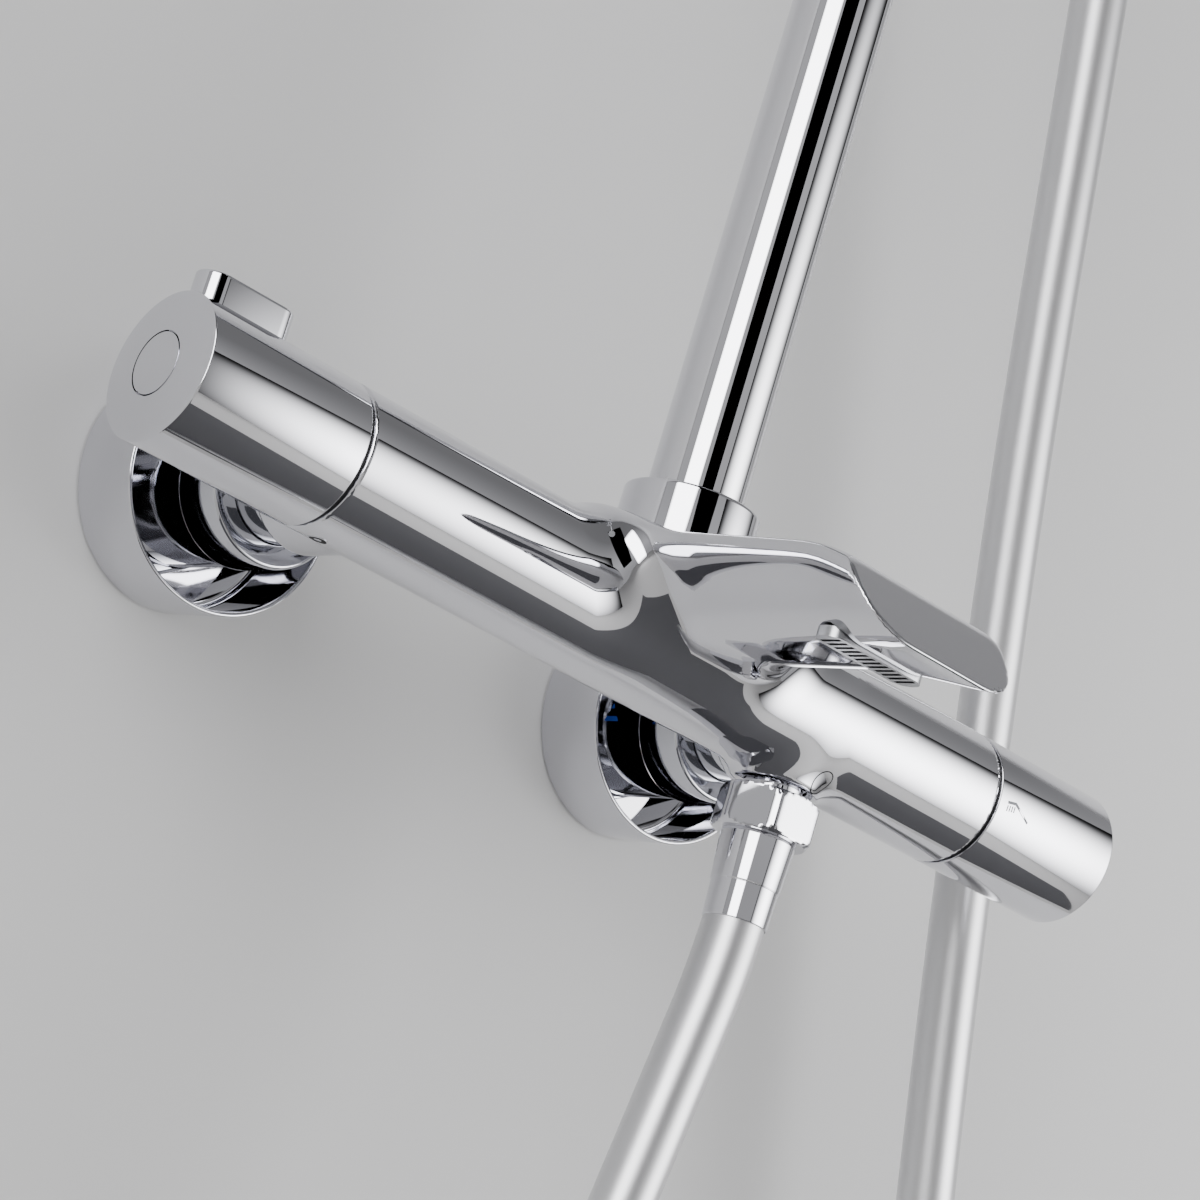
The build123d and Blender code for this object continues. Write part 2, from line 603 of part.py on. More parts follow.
def hose_sleeve():
    """Tapered anti-kink sleeve on the handset's end of the hose."""
    tube = Pos(0, 0, CONE_BOTTOM - SLEEVE_LENGTH / 2 - 0.05) * Cone(8.2, 9.3, SLEEVE_LENGTH)
    return handset_place() * (tube - Pos(0, 0, -60) * Cylinder(HOSE_RADIUS + FIT, 90))


def handset_washer():
    """Flat washer with a flow limiter, inside the cone nut."""
    return handset_place() * Pos(0, 0, 4.9) * (Cylinder(8.9, 1.4) - Cylinder(4.0, 2))


def head_plane():
    """Plane of the handset's spray face, facing forward and down."""
    tilt = math.radians(HEAD_FACE_TILT)
    local = Plane(origin=(0, -22, HEAD_AT), x_dir=(1, 0, 0),
                  z_dir=(0, -math.cos(tilt), -math.sin(tilt)))
    return handset_place() * local


def handset_shell():
    """Moulded handset: round handle and round head in one."""
    place = handset_place()
    with BuildPart() as handle:
        with BuildSketch(Plane.XZ):
            with BuildLine():
                bottom = Line((0, 20.1), (12.3, 20.1))
                grip = Spline(bottom @ 1, (10.7, 75), (11.2, 130), (12.5, 182))
                Line(grip @ 1, (0, 182))
                Line((0, 182), (0, 20.1))
            make_face()
        revolve(axis=Axis.Z)
    solid = place * (handle.part + Pos(0, 0, 12.9) * Cylinder(8.9, 14.4))
    solid += head_plane() * (Pos(0, 0, -7) * Cylinder(HEAD_RADIUS, 14) + Pos(0, 0, -18) * Cone(30, HEAD_RADIUS, 8))
    solid -= head_plane() * Pos(0, 0, 30) * Box(150, 150, 60)
    solid -= head_plane() * Pos(0, 0, -4) * Cylinder(HEAD_RADIUS - 3, 9)
    solid -= place * between(5.0, (0, 0, 168), (0, -12, 192))
    return solid - place * Pos(0, 0, 83) * Cylinder(6.0, 174)


def handset_face():
    """Spray face plate of the handset."""
    plate = Pos(0, 0, -1.6) * Cylinder(HEAD_RADIUS - 3.2, 2.4)
    for a, b in ring_places(FACE_RINGS, 14, 13):
        plate -= Pos(a, b, -1.6) * Cylinder(1.8, 4)
    return head_plane() * plate


def handset_nozzles():
    """Silicone mat with a nozzle through each hole of the face."""
    mat = Pos(0, 0, -3.5) * Cylinder(HEAD_RADIUS - 6, 1.2)
    for a, b in ring_places(FACE_RINGS, 14, 13):
        mat += Pos(a, b, -1.2) * Cone(1.6, 1.0, 4.0)
    return head_plane() * mat


def build_nodes():
    """Every piece by name."""
    nodes = {
        "mixer_body": mixer_body(), "spout_grille": spout_grille(),
        "body_plug": plug_place(2.6, 2.0), "body_grub_screw": cyl_z(2.0, -21.6, -18.7, -96),
        "cold_marker": cold_marker(),
        "thermostat_sleeve": thermostat_sleeve(), "diverter_sleeve": diverter_sleeve(),
        "ceramic_disc_fixed": ceramic_disc(13.2, 56.4, 59.4, 2.6, 5.2),
        "gap_rings": Compound(children=[gap_ring(-1), gap_ring(1)]),
        "outlet_nipple": outlet_nipple(), "hose_nut": hose_nut(), "hose_washer": hose_washer(),
        "hose_ferrule": hose_ferrule(), "hose_tube": hose_tube(),
        "riser_collar": riser_collar(), "riser_seal": riser_seal(), "riser_tube": riser_tube(),
        "bracket_clamp": bracket_clamp(), "bracket_base": bracket_base(),
        "bracket_screws": bracket_screws(), "bracket_cover": bracket_cover(),
        "arm_collar": arm_collar(), "arm_bush": arm_bush(),
        "temperature_knob": temperature_knob(), "knob_cap": knob_cap(),
        "temperature_knob_screw": temperature_knob_screw(), "thermostat_spindle": thermostat_spindle(),
        "thermostat_element": thermostat_element(),
        "stop_button": stop_button(), "stop_button_spring": stop_button_spring(),
        "flow_knob": flow_knob(), "flow_knob_screw": flow_knob_screw(),
        "diverter_spindle": diverter_spindle(),
        "ceramic_disc_moving": ceramic_disc(9.6, 59.6, 62.6, 2.2, 5.0),
        "slider_body": slider_body(), "slider_liner": slider_liner(), "slider_knob": slider_knob(),
        "handset_holder": handset_holder(),
        "handset_shell": handset_shell(), "handset_face": handset_face(),
        "handset_nozzles": handset_nozzles(), "handset_washer": handset_washer(),
        "handset_cone_nut": cone_nut(), "hose_sleeve": hose_sleeve(),
        "shower_arm": shower_arm(), "arm_stop_ring": arm_stop_ring(), "arm_ball": arm_ball(),
        "ball_seat_ring": ball_shell(13.5, 11.3, -11.5, -5.5),
        "head_socket": head_socket(), "socket_nut": socket_nut(),
        "rain_shell": rain_shell(), "rain_face": rain_face(), "rain_nozzles": rain_nozzles(),
    }
    inlets = (-INLET_SPACING / 2, INLET_SPACING / 2)
    nodes["escutcheon_hot"], nodes["escutcheon_cold"] = [escutcheon(x) for x in inlets]
    pairs = {"eccentric_unions": eccentric_union, "union_nuts": union_nut, "union_tails": union_tail,
             "union_washers": union_washer, "check_valves": check_valve}
    for name, make in pairs.items():
        nodes[name] = Compound(children=[make(x) for x in inlets])
    return nodes


def main():
    """Build every node and write it to parts/NODE.step."""
    os.makedirs("parts", exist_ok=True)
    for name, solid in build_nodes().items():
        export_step(solid, f"parts/{name}.step")


main()
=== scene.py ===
# %% [markdown]
# The rainfall shower column in its real finishes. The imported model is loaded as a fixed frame: every piece
# below is built in that frame, in metres, and rides on one of its bodies. Sizes are written in millimetres
# here, because that is how a fitter thinks of them, and one constant turns them to metres.

# %% Load the frame
import bpy
import math
import numpy as np
from mathutils import Matrix, Vector


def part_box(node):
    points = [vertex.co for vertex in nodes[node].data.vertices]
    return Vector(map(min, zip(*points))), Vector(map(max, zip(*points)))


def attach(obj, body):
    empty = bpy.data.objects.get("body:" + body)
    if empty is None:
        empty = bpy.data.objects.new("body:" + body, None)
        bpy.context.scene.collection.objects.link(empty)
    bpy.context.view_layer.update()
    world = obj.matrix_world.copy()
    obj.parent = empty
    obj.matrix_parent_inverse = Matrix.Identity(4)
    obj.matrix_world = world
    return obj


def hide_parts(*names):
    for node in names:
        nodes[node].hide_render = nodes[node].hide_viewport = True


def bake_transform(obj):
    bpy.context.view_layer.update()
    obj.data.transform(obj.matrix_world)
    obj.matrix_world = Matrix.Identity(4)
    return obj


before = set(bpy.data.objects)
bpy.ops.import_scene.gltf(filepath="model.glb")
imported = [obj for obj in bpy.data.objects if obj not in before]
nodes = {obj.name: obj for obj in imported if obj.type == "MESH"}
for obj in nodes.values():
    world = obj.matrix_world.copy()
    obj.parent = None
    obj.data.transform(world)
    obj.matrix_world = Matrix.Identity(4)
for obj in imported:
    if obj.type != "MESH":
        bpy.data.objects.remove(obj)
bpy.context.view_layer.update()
MM = 0.001

# %% [markdown]
# The camera looks up from below and from the left, close to the wall, with a long lens, so the bar runs
# downhill across the view. Its three directions come from the two inlets, 150 mm apart.

# %% Camera
RIGHT = Vector((0.69300, -0.66442, 0.27982))
DOWN = Vector((0.38054, 0.00745, -0.92473))
AHEAD = Vector((0.61233, 0.74732, 0.25801))
camera_data = bpy.data.cameras.new("camera")
camera_data.sensor_width = 36.0
camera_data.lens = 128.81
camera = bpy.data.objects.new("camera", camera_data)
axes = Matrix((RIGHT, -DOWN, -AHEAD)).transposed().to_4x4()
camera.matrix_world = Matrix.Translation((-0.60627, -0.80698, -0.25189)) @ axes
bpy.context.scene.collection.objects.link(camera)
bpy.context.scene.camera = camera
print("camera looks along", tuple(round(c, 3) for c in AHEAD))

# %% [markdown]
# Every surface is a grid of points worked out with numpy as whole arrays. One helper joins rows and columns
# into faces, one adds the mesh to the scene, and one gives it its body, its material and its CAD node.

# %% Grid and mesh helpers
def grid_faces(rows, columns, wrap_rows=False, wrap_columns=True):
    """Quads between neighbouring rows and columns; a wrapped direction joins its last line to its first."""
    r = np.arange(rows if wrap_rows else rows - 1)
    c = np.arange(columns if wrap_columns else columns - 1)
    r, c = np.meshgrid(r, c, indexing="ij")
    r, c = r.ravel(), c.ravel()
    r2, c2 = (r + 1) % rows, (c + 1) % columns
    return np.stack([r * columns + c, r * columns + c2, r2 * columns + c2, r2 * columns + c], 1)


def add_mesh(name, points, faces, smooth_angle=40.0, normals=None):
    """A mesh object from points in millimetres and a list or an array of faces."""
    mesh = bpy.data.meshes.new(name)
    faces = faces.tolist() if hasattr(faces, "tolist") else faces
    mesh.from_pydata((np.asarray(points) * MM).tolist(), [], faces)
    mesh.validate()
    mesh.shade_smooth()
    if smooth_angle:
        mesh.set_sharp_from_angle(angle=math.radians(smooth_angle))
    if normals is not None:
        mesh.normals_split_custom_set_from_vertices(normals.tolist())
    piece = bpy.data.objects.new(name, mesh)
    bpy.context.scene.collection.objects.link(piece)
    return piece


def settle(piece, body, material, *stands_for, slot=None):
    """The piece rides on its body, takes its material and replaces its CAD nodes."""
    piece.data.materials.clear()
    piece.data.materials.append(material)
    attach(piece, body)
    if stands_for:
        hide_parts(*stands_for)
    return piece


# %% Profiles with rounded corners
def rounded(corners, radius, steps=5):
    """A polyline with each inner corner turned into an arc: tangent points lie radius * tan(half turn) away,
    and never more than 0.45 of the shorter run; the arc is a quadratic curve between them."""
    p = np.asarray(corners, float)
    radii = np.broadcast_to(radius, len(p)).astype(float)
    before, after = p[:-2] - p[1:-1], p[2:] - p[1:-1]
    lb, la = np.linalg.norm(before, axis=1), np.linalg.norm(after, axis=1)
    ub, ua = before / lb[:, None], after / la[:, None]
    half = 0.5 * (np.pi - np.arccos(np.clip((ub * ua).sum(1), -1, 1)))
    cut = np.minimum(radii[1:-1] * np.tan(half), 0.45 * np.minimum(lb, la))[:, None]
    t = np.linspace(0, 1, steps)[None, :, None]
    a, b, c = (p[1:-1] + ub * cut)[:, None], p[1:-1][:, None], (p[1:-1] + ua * cut)[:, None]
    arcs = ((1 - t) ** 2 * a + 2 * t * (1 - t) * b + t ** 2 * c).reshape(-1, 2)
    return np.vstack([p[:1], arcs, p[-1:]])


def turned(name, profile, centre, axis, turns=128):
    """Surface of revolution: a point (s, r) becomes centre + s * axis + r * (cos t * u + sin t * v). A profile
    that ends on the axis is closed there by a pole point, and a closed profile makes a ring."""
    profile = np.asarray(profile, float)
    axis = np.asarray(axis, float) / np.linalg.norm(axis)
    u = np.cross(axis, (0.0, 0.0, 1.0) if abs(axis[2]) < 0.9 else (1.0, 0.0, 0.0))
    u /= np.linalg.norm(u)
    v = np.cross(axis, u)
    ring = np.allclose(profile[0], profile[-1])
    inner = profile[:-1] if ring else profile[1:-1]
    t = np.linspace(0, 2 * np.pi, turns, endpoint=False)
    around = np.cos(t)[:, None] * u + np.sin(t)[:, None] * v
    points = (np.asarray(centre, float) + inner[:, None, :1] * axis + inner[:, None, 1:] * around).reshape(-1, 3)
    faces = grid_faces(len(inner), turns, wrap_rows=ring).tolist()
    if not ring:
        first, last = len(points), len(points) + 1
        points = np.vstack([points, centre + profile[0, 0] * axis, centre + profile[-1, 0] * axis])
        k, n = np.arange(turns), (len(inner) - 1) * turns
        k2 = (k + 1) % turns
        faces += np.stack([np.full(turns, first), k2, k], 1).tolist()
        faces += np.stack([np.full(turns, last), n + k, n + k2], 1).tolist()
    return outwards(add_mesh(name, points, faces, 35.0))


def section(corners, radii):
    """Closed half section: every corner but the first is rounded, by its own radius."""
    return rounded(corners + corners[:1], [0, *radii, 0])


def lathe(name, profile, centre, axis, turns, body, material, node, slot="chrome"):
    """A turned piece, settled on its body in place of its CAD node."""
    return settle(turned(name, profile, centre, axis, turns), body, material, node, slot=slot)


def outwards(piece):
    """Turn every face outwards if the closed shell's signed volume is negative."""
    mesh = piece.data
    mesh.calc_loop_triangles()
    co = np.empty(len(mesh.vertices) * 3)
    mesh.vertices.foreach_get("co", co)
    tri = np.empty(len(mesh.loop_triangles) * 3, int)
    mesh.loop_triangles.foreach_get("vertices", tri)
    a, b, c = co.reshape(-1, 3)[tri.reshape(-1, 3)].transpose(1, 0, 2)
    if (a * np.cross(b, c)).sum() < 0:
        mesh.flip_normals()
    return piece


def join(name, parts):
    """Join pieces into the first one."""
    with bpy.context.temp_override(active_object=parts[0], selected_editable_objects=parts):
        bpy.ops.object.join()
    parts[0].name = name
    return parts[0]


# %% [markdown]
# Finishes. Each colour is an sRGB hex, turned to linear light once. One small function adds a shader node
# with its settings and links. Patterns read Object coordinates, which are in metres here, so a scale of
# 1000 / size gives a pattern that many millimetres across.

# %% Colour and node helpers
def linear(code):
    """sRGB hex to linear RGBA: below 0.04045 divide by 12.92, else ((c + 0.055) / 1.055) to the power 2.4."""
    c = np.array([int(code[i:i + 2], 16) for i in (1, 3, 5)]) / 255
    c = np.where(c <= 0.04045, c / 12.92, ((c + 0.055) / 1.055) ** 2.4)
    return (*c.tolist(), 1.0)


def add_node(tree, kind, links=(), **settings):
    """A node of that kind; settings name its properties or its input sockets, links are (socket, output)."""
    made = tree.nodes.new(kind)
    for key, value in settings.items():
        label = key.replace("_", " ")
        if hasattr(made, key):
            setattr(made, key, value)
        else:
            socket = next(s for s in made.inputs if s.name.lower() == label.lower() and s.enabled)
            socket.default_value = value
    for socket, output in links:
        tree.links.new(output, made.inputs[socket])
    return made


def finish_of(name, colour, metallic=0.0, roughness=0.3, spread=0.0, spread_mm=30.0, bump_mm=0.0,
              bump_size_mm=1.0, **more):
    """A Principled finish whose roughness wanders by +-spread over patches of spread_mm, with a fine relief
    of bump_mm height and bump_size_mm grain."""
    material = bpy.data.materials.new(name)
    material.use_nodes = True
    tree = material.node_tree
    shader = tree.nodes["Principled BSDF"]
    shader.inputs["Base Color"].default_value = linear(colour)
    shader.inputs["Metallic"].default_value = metallic
    shader.inputs["Roughness"].default_value = roughness
    for key, value in more.items():
        shader.inputs[key.replace("_", " ")].default_value = value
    where = add_node(tree, "ShaderNodeTexCoord").outputs["Object"]
    if spread:
        noise = add_node(tree, "ShaderNodeTexNoise", [("Vector", where)], Scale=1000 / spread_mm, Detail=3.0)
        level = add_node(tree, "ShaderNodeMapRange", [("Value", noise.outputs["Fac"])],
                         To_Min=max(roughness - spread, 0.0), To_Max=roughness + spread)
        tree.links.new(level.outputs["Result"], shader.inputs["Roughness"])
    if bump_mm:
        grain = add_node(tree, "ShaderNodeTexNoise", [("Vector", where)], Scale=1000 / bump_size_mm, Detail=2.0)
        relief = add_node(tree, "ShaderNodeBump", [("Height", grain.outputs["Fac"])], Distance=bump_mm * MM)
        tree.links.new(relief.outputs["Normal"], shader.inputs["Normal"])
    return material


# %% The finishes
# Polished brass casting, nickel and chrome plated: a cool mirror. Fingerprints too faint to see as marks
# change the gloss a little over patches of 40 mm.
chrome = finish_of("chrome plated casting", "#D3D3D8", 1.0, 0.035, 0.012, 40.0)
# Drawn tube, polished in a lathe before plating: the same mirror, slightly flatter.
chrome_tube = finish_of("chrome plated tube", "#D5D5D9", 1.0, 0.025, 0.01, 60.0)
# Chrome on a moulding keeps the plastic's faint orange peel, about 2 mm across and a few microns high.
chrome_moulding = finish_of("chrome plated moulding", "#CFCFD4", 1.0, 0.05, 0.015, 30.0, 0.004, 2.5)
# Bright turned parts inside the cups, a little darker from the nickel under a thin chrome.
chrome_thin = finish_of("thin chrome on turned brass", "#C6C7CD", 1.0, 0.05, 0.015, 12.0)
# Free-cutting brass as it leaves the lathe.
brass = finish_of("turned brass", "#C9A45C", 1.0, 0.22, 0.05, 6.0, 0.004, 0.4)
# Stainless steel, sawn and tumbled.
steel = finish_of("tumbled stainless steel", "#A9AAAD", 1.0, 0.3, 0.06, 8.0, 0.004, 0.5)
# EPDM rubber: nearly black, dull, with the skin of its mould.
rubber = finish_of("black EPDM rubber", "#1B1B1C", 0.0, 0.62, 0.08, 9.0, 0.01, 0.6)
# Anti-kink sleeve: softer PVC, satin.
sleeve_grey = finish_of("satin grey PVC", "#6E7074", 0.0, 0.38, 0.05, 14.0, 0.006, 0.8)
# Nitrile seal at the bottom of the gaps between body and knobs.
dark_seal = finish_of("dark seal ring", "#191A1C", 0.0, 0.5, 0.06, 10.0, 0.006, 0.6)
# Moulded acetal, white and slightly translucent.
acetal = finish_of("white acetal", "#E9E8E3", 0.0, 0.36, 0.05, 10.0, 0.004, 0.8, Subsurface_Weight=0.1)
# Lapped alumina disc, as smooth as glass.
ceramic = finish_of("lapped alumina", "#EFECE4", 0.0, 0.12, 0.02, 8.0)
# The blue mark of the cold inlet.
blue_plastic = finish_of("blue ABS mark", "#1D4FC4", 0.0, 0.35, 0.05, 3.0, 0.004, 0.5)
# Satin moulded spray faces and their softer nozzles.
face_grey = finish_of("light grey ABS face", "#C6C8CA", 0.0, 0.26, 0.05, 25.0, 0.004, 1.0)
silicone = finish_of("grey silicone", "#5B5E62", 0.0, 0.55, 0.06, 6.0, 0.01, 0.5, Subsurface_Weight=0.08)
# Drawn copper cup of the wax element.
copper = finish_of("copper wax cartridge", "#B87452", 1.0, 0.3, 0.06, 5.0, 0.004, 0.5)
# The shadow in a hair-thin groove, and the etched sign, which is rougher than the chrome round it.
groove_dark = finish_of("shadowed groove", "#101114", 0.0, 0.7, 0.05, 2.0, 0.004, 0.5)
laser_grey = finish_of("laser-etched chrome", "#74767B", 0.4, 0.55, 0.08, 1.0, 0.004, 0.3)
print("finishes", len(bpy.data.materials))

# %% [markdown]
# The free hose comes first, because it decides how far the object spreads. It is a smooth PVC tube over a
# silver wrap, 14.8 mm thick and about 1.5 m long. It leaves the outlet straight down, hangs in one loop and
# comes up to the handset. Its route is the control polygon of a NURBS spline, which is smooth by itself.

# %% Hose line
HOSE_DIAMETER = 14.8
HOSE_ROUTE = [
    (48.0, -89.0, -50.0), (48.0, -89.0, -66.0), (43.2, -89.0, -98.0), (35.6, -88.6, -150.0),
    (24.0, -87.0, -205.0), (11.0, -84.0, -266.0), (5.0, -80.0, -332.0), (43.0, -74.0, -385.0),
    (105.0, -66.0, -404.0), (167.0, -58.0, -385.0), (205.0, -51.0, -332.0), (209.0, -45.5, -258.0),
    (201.0, -42.5, -184.0), (186.0, -42.0, -112.0), (168.5, -42.5, -36.0), (151.0, -45.0, 40.0),
    (133.0, -49.5, 116.0), (114.0, -57.0, 196.0), (94.0, -64.5, 278.0), (66.0, -72.0, 378.0),
    (44.0, -77.1, 490.4), (44.0, -100.0, 598.0),
]


def spline_points(route):
    """The smooth line through a route: a quadratic NURBS spline with the route's points as control points."""
    curve = bpy.data.curves.new("hose_line", "CURVE")
    curve.dimensions = "3D"
    spline = curve.splines.new("NURBS")
    spline.points.add(len(route) - 1)
    spline.points.foreach_set("co", np.column_stack([np.array(route) * MM, np.ones(len(route))]).ravel())
    spline.order_u = 3
    spline.use_endpoint_u = True
    spline.resolution_u = 12
    carrier = bpy.data.objects.new("hose_line", curve)
    mesh = bpy.data.meshes.new_from_object(carrier)
    line = np.empty(len(mesh.vertices) * 3)
    mesh.vertices.foreach_get("co", line)
    bpy.data.objects.remove(carrier)
    bpy.data.curves.remove(curve)
    bpy.data.meshes.remove(mesh)
    return line.reshape(-1, 3) / MM


def carried(name, line, radius, turns=48, bore=0.0):
    """A tube along a line. At each point the frame of the one before is turned by the smallest turn, so the
    tube doesn't twist: u loses its part along the new tangent and is made one long again."""
    line = np.asarray(line, float)
    tangent = np.gradient(line, axis=0)
    tangent /= np.linalg.norm(tangent, axis=1)[:, None]
    u = np.cross(tangent[0], (0.0, 1.0, 0.0) if abs(tangent[0][1]) < 0.9 else (1.0, 0.0, 0.0))
    frames = []
    for t in tangent:
        u = u - t * (u @ t)
        u = u / np.linalg.norm(u)
        frames.append(u)
    u = np.array(frames)
    v = np.cross(tangent, u)
    a = np.linspace(0, 2 * np.pi, turns, endpoint=False)
    ring = np.cos(a)[None, :, None] * u[:, None] + np.sin(a)[None, :, None] * v[:, None]
    outer = line[:, None] + radius * ring
    inner = (line[:, None] + bore * ring)[::-1]
    rows = np.concatenate([outer, inner])
    return outwards(add_mesh(name, rows.reshape(-1, 3), grid_faces(len(rows), turns, wrap_rows=True), 50.0))


hose_line = spline_points(HOSE_ROUTE)
hose_length = np.linalg.norm(np.diff(hose_line, axis=0), axis=1).sum()
print("hose line", len(hose_line), "points,", round(hose_length, 1), "mm long")

# %% Hose finish
# The wrap under the clear PVC skin is a metallised film: satin silver under a thin gloss. The film's fine
# lengthwise draw lines, 0.5 mm apart on the real hose, are not drawn.
def hose_finish():
    """Silver film under a clear skin, with soft cloudiness 20 mm across."""
    material = finish_of("silver film under clear PVC", "#CFCFD1", 0.9, 0.4, 0.03, 20.0, 0.003, 0.9)
    shader = material.node_tree.nodes["Principled BSDF"]
    shader.inputs["Coat Weight"].default_value = 0.35
    shader.inputs["Coat Roughness"].default_value = 0.12
    return material


hose_silver = hose_finish()

# %% Hose tube
hose = carried("shower_hose", hose_line, HOSE_DIAMETER / 2, bore=4.6)
hose.data.materials.append(hose_silver)
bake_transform(hose)
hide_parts("hose_tube")
print("hose faces", len(hose.data.polygons))

# %% [markdown]
# Turned pieces. Almost everything round on a shower column comes off a lathe, so each is drawn as its half
# section, with the small radii that polishing leaves on every edge, and turned about its axis.

# %% Bar, knobs and gap
BAR_Y, BAR_Z, BAR_R = -89.0, -5.3, 17.1
BODY_END, GAP, LEFT_RIM, RIGHT_RIM, DOME = 102.6, 1.0, 147.6, 145.9, 1.6
CAP_R = 7.25
BAR_X = np.array([0.0, BAR_Y, BAR_Z])


def dome_rise(radius):
    """Height of the shallow dome over its rim at that radius: sagitta of a sphere through rim and top."""
    sphere = (BAR_R ** 2 + DOME ** 2) / (2 * DOME)
    return np.sqrt(sphere ** 2 - np.asarray(radius) ** 2) - (sphere - DOME)


def knob_profile(rim, recess=None):
    """Half section of a hollow knob with a domed end; s runs outwards from the middle of the bar."""
    start = BODY_END + GAP
    reach = np.linspace(BAR_R - 0.8, (recess or 0.0) + 1e-3, 14)
    dome = np.column_stack([rim + dome_rise(reach), reach])
    wall = rounded([(rim - 2.4, 10.0), (rim - 2.4, 14.6), (start, 14.6), (start, BAR_R), (rim, BAR_R),
                    tuple(dome[0])], [0, 0.3, 0.3, 0.35, 0.7, 0])
    inside = [(rim - 2.4, 0.0)]
    tip = [(rim - 0.45, recess), (rim - 0.45, 0.0)] if recess else [(rim + DOME, 0.0)]
    return np.vstack([inside, wall, dome[1:], tip])


def cut(piece, cutter):
    """Take the cutter away from the piece, then remove the cutter."""
    step = piece.modifiers.new("cut", "BOOLEAN")
    step.operation, step.solver, step.object = "DIFFERENCE", "EXACT", cutter
    ready = piece.evaluated_get(bpy.context.evaluated_depsgraph_get())
    mesh = bpy.data.meshes.new_from_object(ready)
    piece.modifiers.clear()
    piece.data = mesh
    mesh.shade_smooth()
    mesh.set_sharp_from_angle(angle=math.radians(35))
    bpy.data.objects.remove(cutter)
    return piece


# %% Stop button
TAB_X, TAB_LENGTH, TAB_HALF, TAB_TOP = -133.4, 24.6, 5.0, 17.8


def pill(length, half, turns=96):
    """Outline of a bar with round ends: a circle of radius half, split and moved apart along X."""
    t = np.linspace(0, 2 * np.pi, turns, endpoint=False) + 1e-3
    shift = np.sign(np.cos(t)) * (length / 2 - half)
    return np.column_stack([half * np.cos(t) + shift, half * np.sin(t)])


def pill_block(name, length, half, low, high, edge):
    """Upright block on a pill outline whose top edge is rounded: near the top the outline shrinks by
    edge * (1 - sin a) while the height grows by edge * (1 - cos a)."""
    a = np.linspace(0, np.pi / 2, 7)
    inset = np.concatenate([[0.0], edge * (1 - np.cos(a)), [half - 1e-2]])
    height = np.concatenate([[low], high - edge + edge * np.sin(a), [high + 0.12]])
    rings = []
    for i, z in zip(inset, height):
        xy = pill(length - 2 * i, half - i)
        rings.append(np.column_stack([xy, np.full(len(xy), z)]))
    points = np.concatenate(rings) + np.array([TAB_X, BAR_Y, 0.0])
    turns = len(rings[0])
    faces = grid_faces(len(rings), turns).tolist()
    faces.append(list(range(turns))[::-1])
    faces.append(list(range(len(points) - turns, len(points))))
    return outwards(add_mesh(name, points, faces, 30.0))


button = settle(pill_block("stop_button_tab", TAB_LENGTH, TAB_HALF, 5.0, TAB_TOP, 0.8), "stop_button",
                chrome, "stop_button", slot="chrome")

# %% Knobs
left_knob = turned("temperature_knob_shell", knob_profile(LEFT_RIM, CAP_R + 0.22), BAR_X, (-1, 0, 0), 160)
cut(left_knob, pill_block("slot_cutter", TAB_LENGTH + 0.5, TAB_HALF + 0.25, 2.0, 25.0, 0.2))
settle(left_knob, "temperature_knob", chrome, "temperature_knob", slot="chrome")
right_knob = turned("flow_knob_shell", knob_profile(RIGHT_RIM), BAR_X, (1, 0, 0), 160)
cut(right_knob, turned("hole_cutter", [(0, 0), (0, 2.1), (20, 2.1), (20, 0)], (134, BAR_Y, 6.0), (0, 0, 1), 32))
settle(right_knob, "flow_knob", chrome, "flow_knob", slot="chrome")

cap_reach = np.linspace(CAP_R - 0.15, 1e-3, 8)
cap_dome = np.column_stack([LEFT_RIM + dome_rise(cap_reach) - 0.02, cap_reach])
cap_profile = np.vstack([[(LEFT_RIM - 0.4, 0.0), (LEFT_RIM - 0.4, CAP_R - 0.1), (LEFT_RIM + 0.9, CAP_R)],
                         cap_dome, [(LEFT_RIM + DOME - 0.02, 0.0)]])
cap = turned("temperature_knob_cap", cap_profile, BAR_X, (-1, 0, 0), 96)
notch_at = (-146.4, BAR_Y + 3.3, BAR_Z - 6.9)
cut(cap, turned("notch_cutter", [(0, 0), (0, 0.7), (4, 0.7), (4, 0)], notch_at, (-1, 0, 0), 24))
settle(cap, "temperature_knob", chrome, "knob_cap", slot="chrome")
print("knob reach", LEFT_RIM + DOME, RIGHT_RIM + DOME)

# %% Inlet cups, unions, nuts and tails
HOT, COLD = -75.0, 75.0
cup_profile = section([(0.0, 10.8), (0.0, 28.2), (21.0, 28.85), (21.0, 27.75), (1.5, 26.9), (1.5, 10.8)],
                      [0.3, 0.5, 0.5, 1.5, 0.2])
nut_profile = section([(24.6, 13.6), (24.6, 18.35), (38.7, 18.35), (38.7, 12.85), (36.4, 12.85), (36.4, 13.6)],
                      [1.1, 1.1, 0.3, 0.1, 0.1])
tail_profile = section([(34.9, 8.0), (34.9, 12.75), (49.2, 12.75), (49.2, 8.0)], [0.5, 0.4, 0.2])
for side, name in ((HOT, "hot"), (COLD, "cold")):
    cup = turned("cup_" + name, cup_profile, (side, 0, 0), (0, -1, 0), 192)
    settle(cup, "fixed", chrome, "escutcheon_" + name, slot="chrome")


def pair(name, make, stands_for):
    """The same piece at both inlets, joined into one mesh."""
    both = join(name, [make(name + "_hot", HOT), make(name + "_cold", COLD)])
    return settle(both, "fixed", chrome_thin, stands_for, slot="chrome")


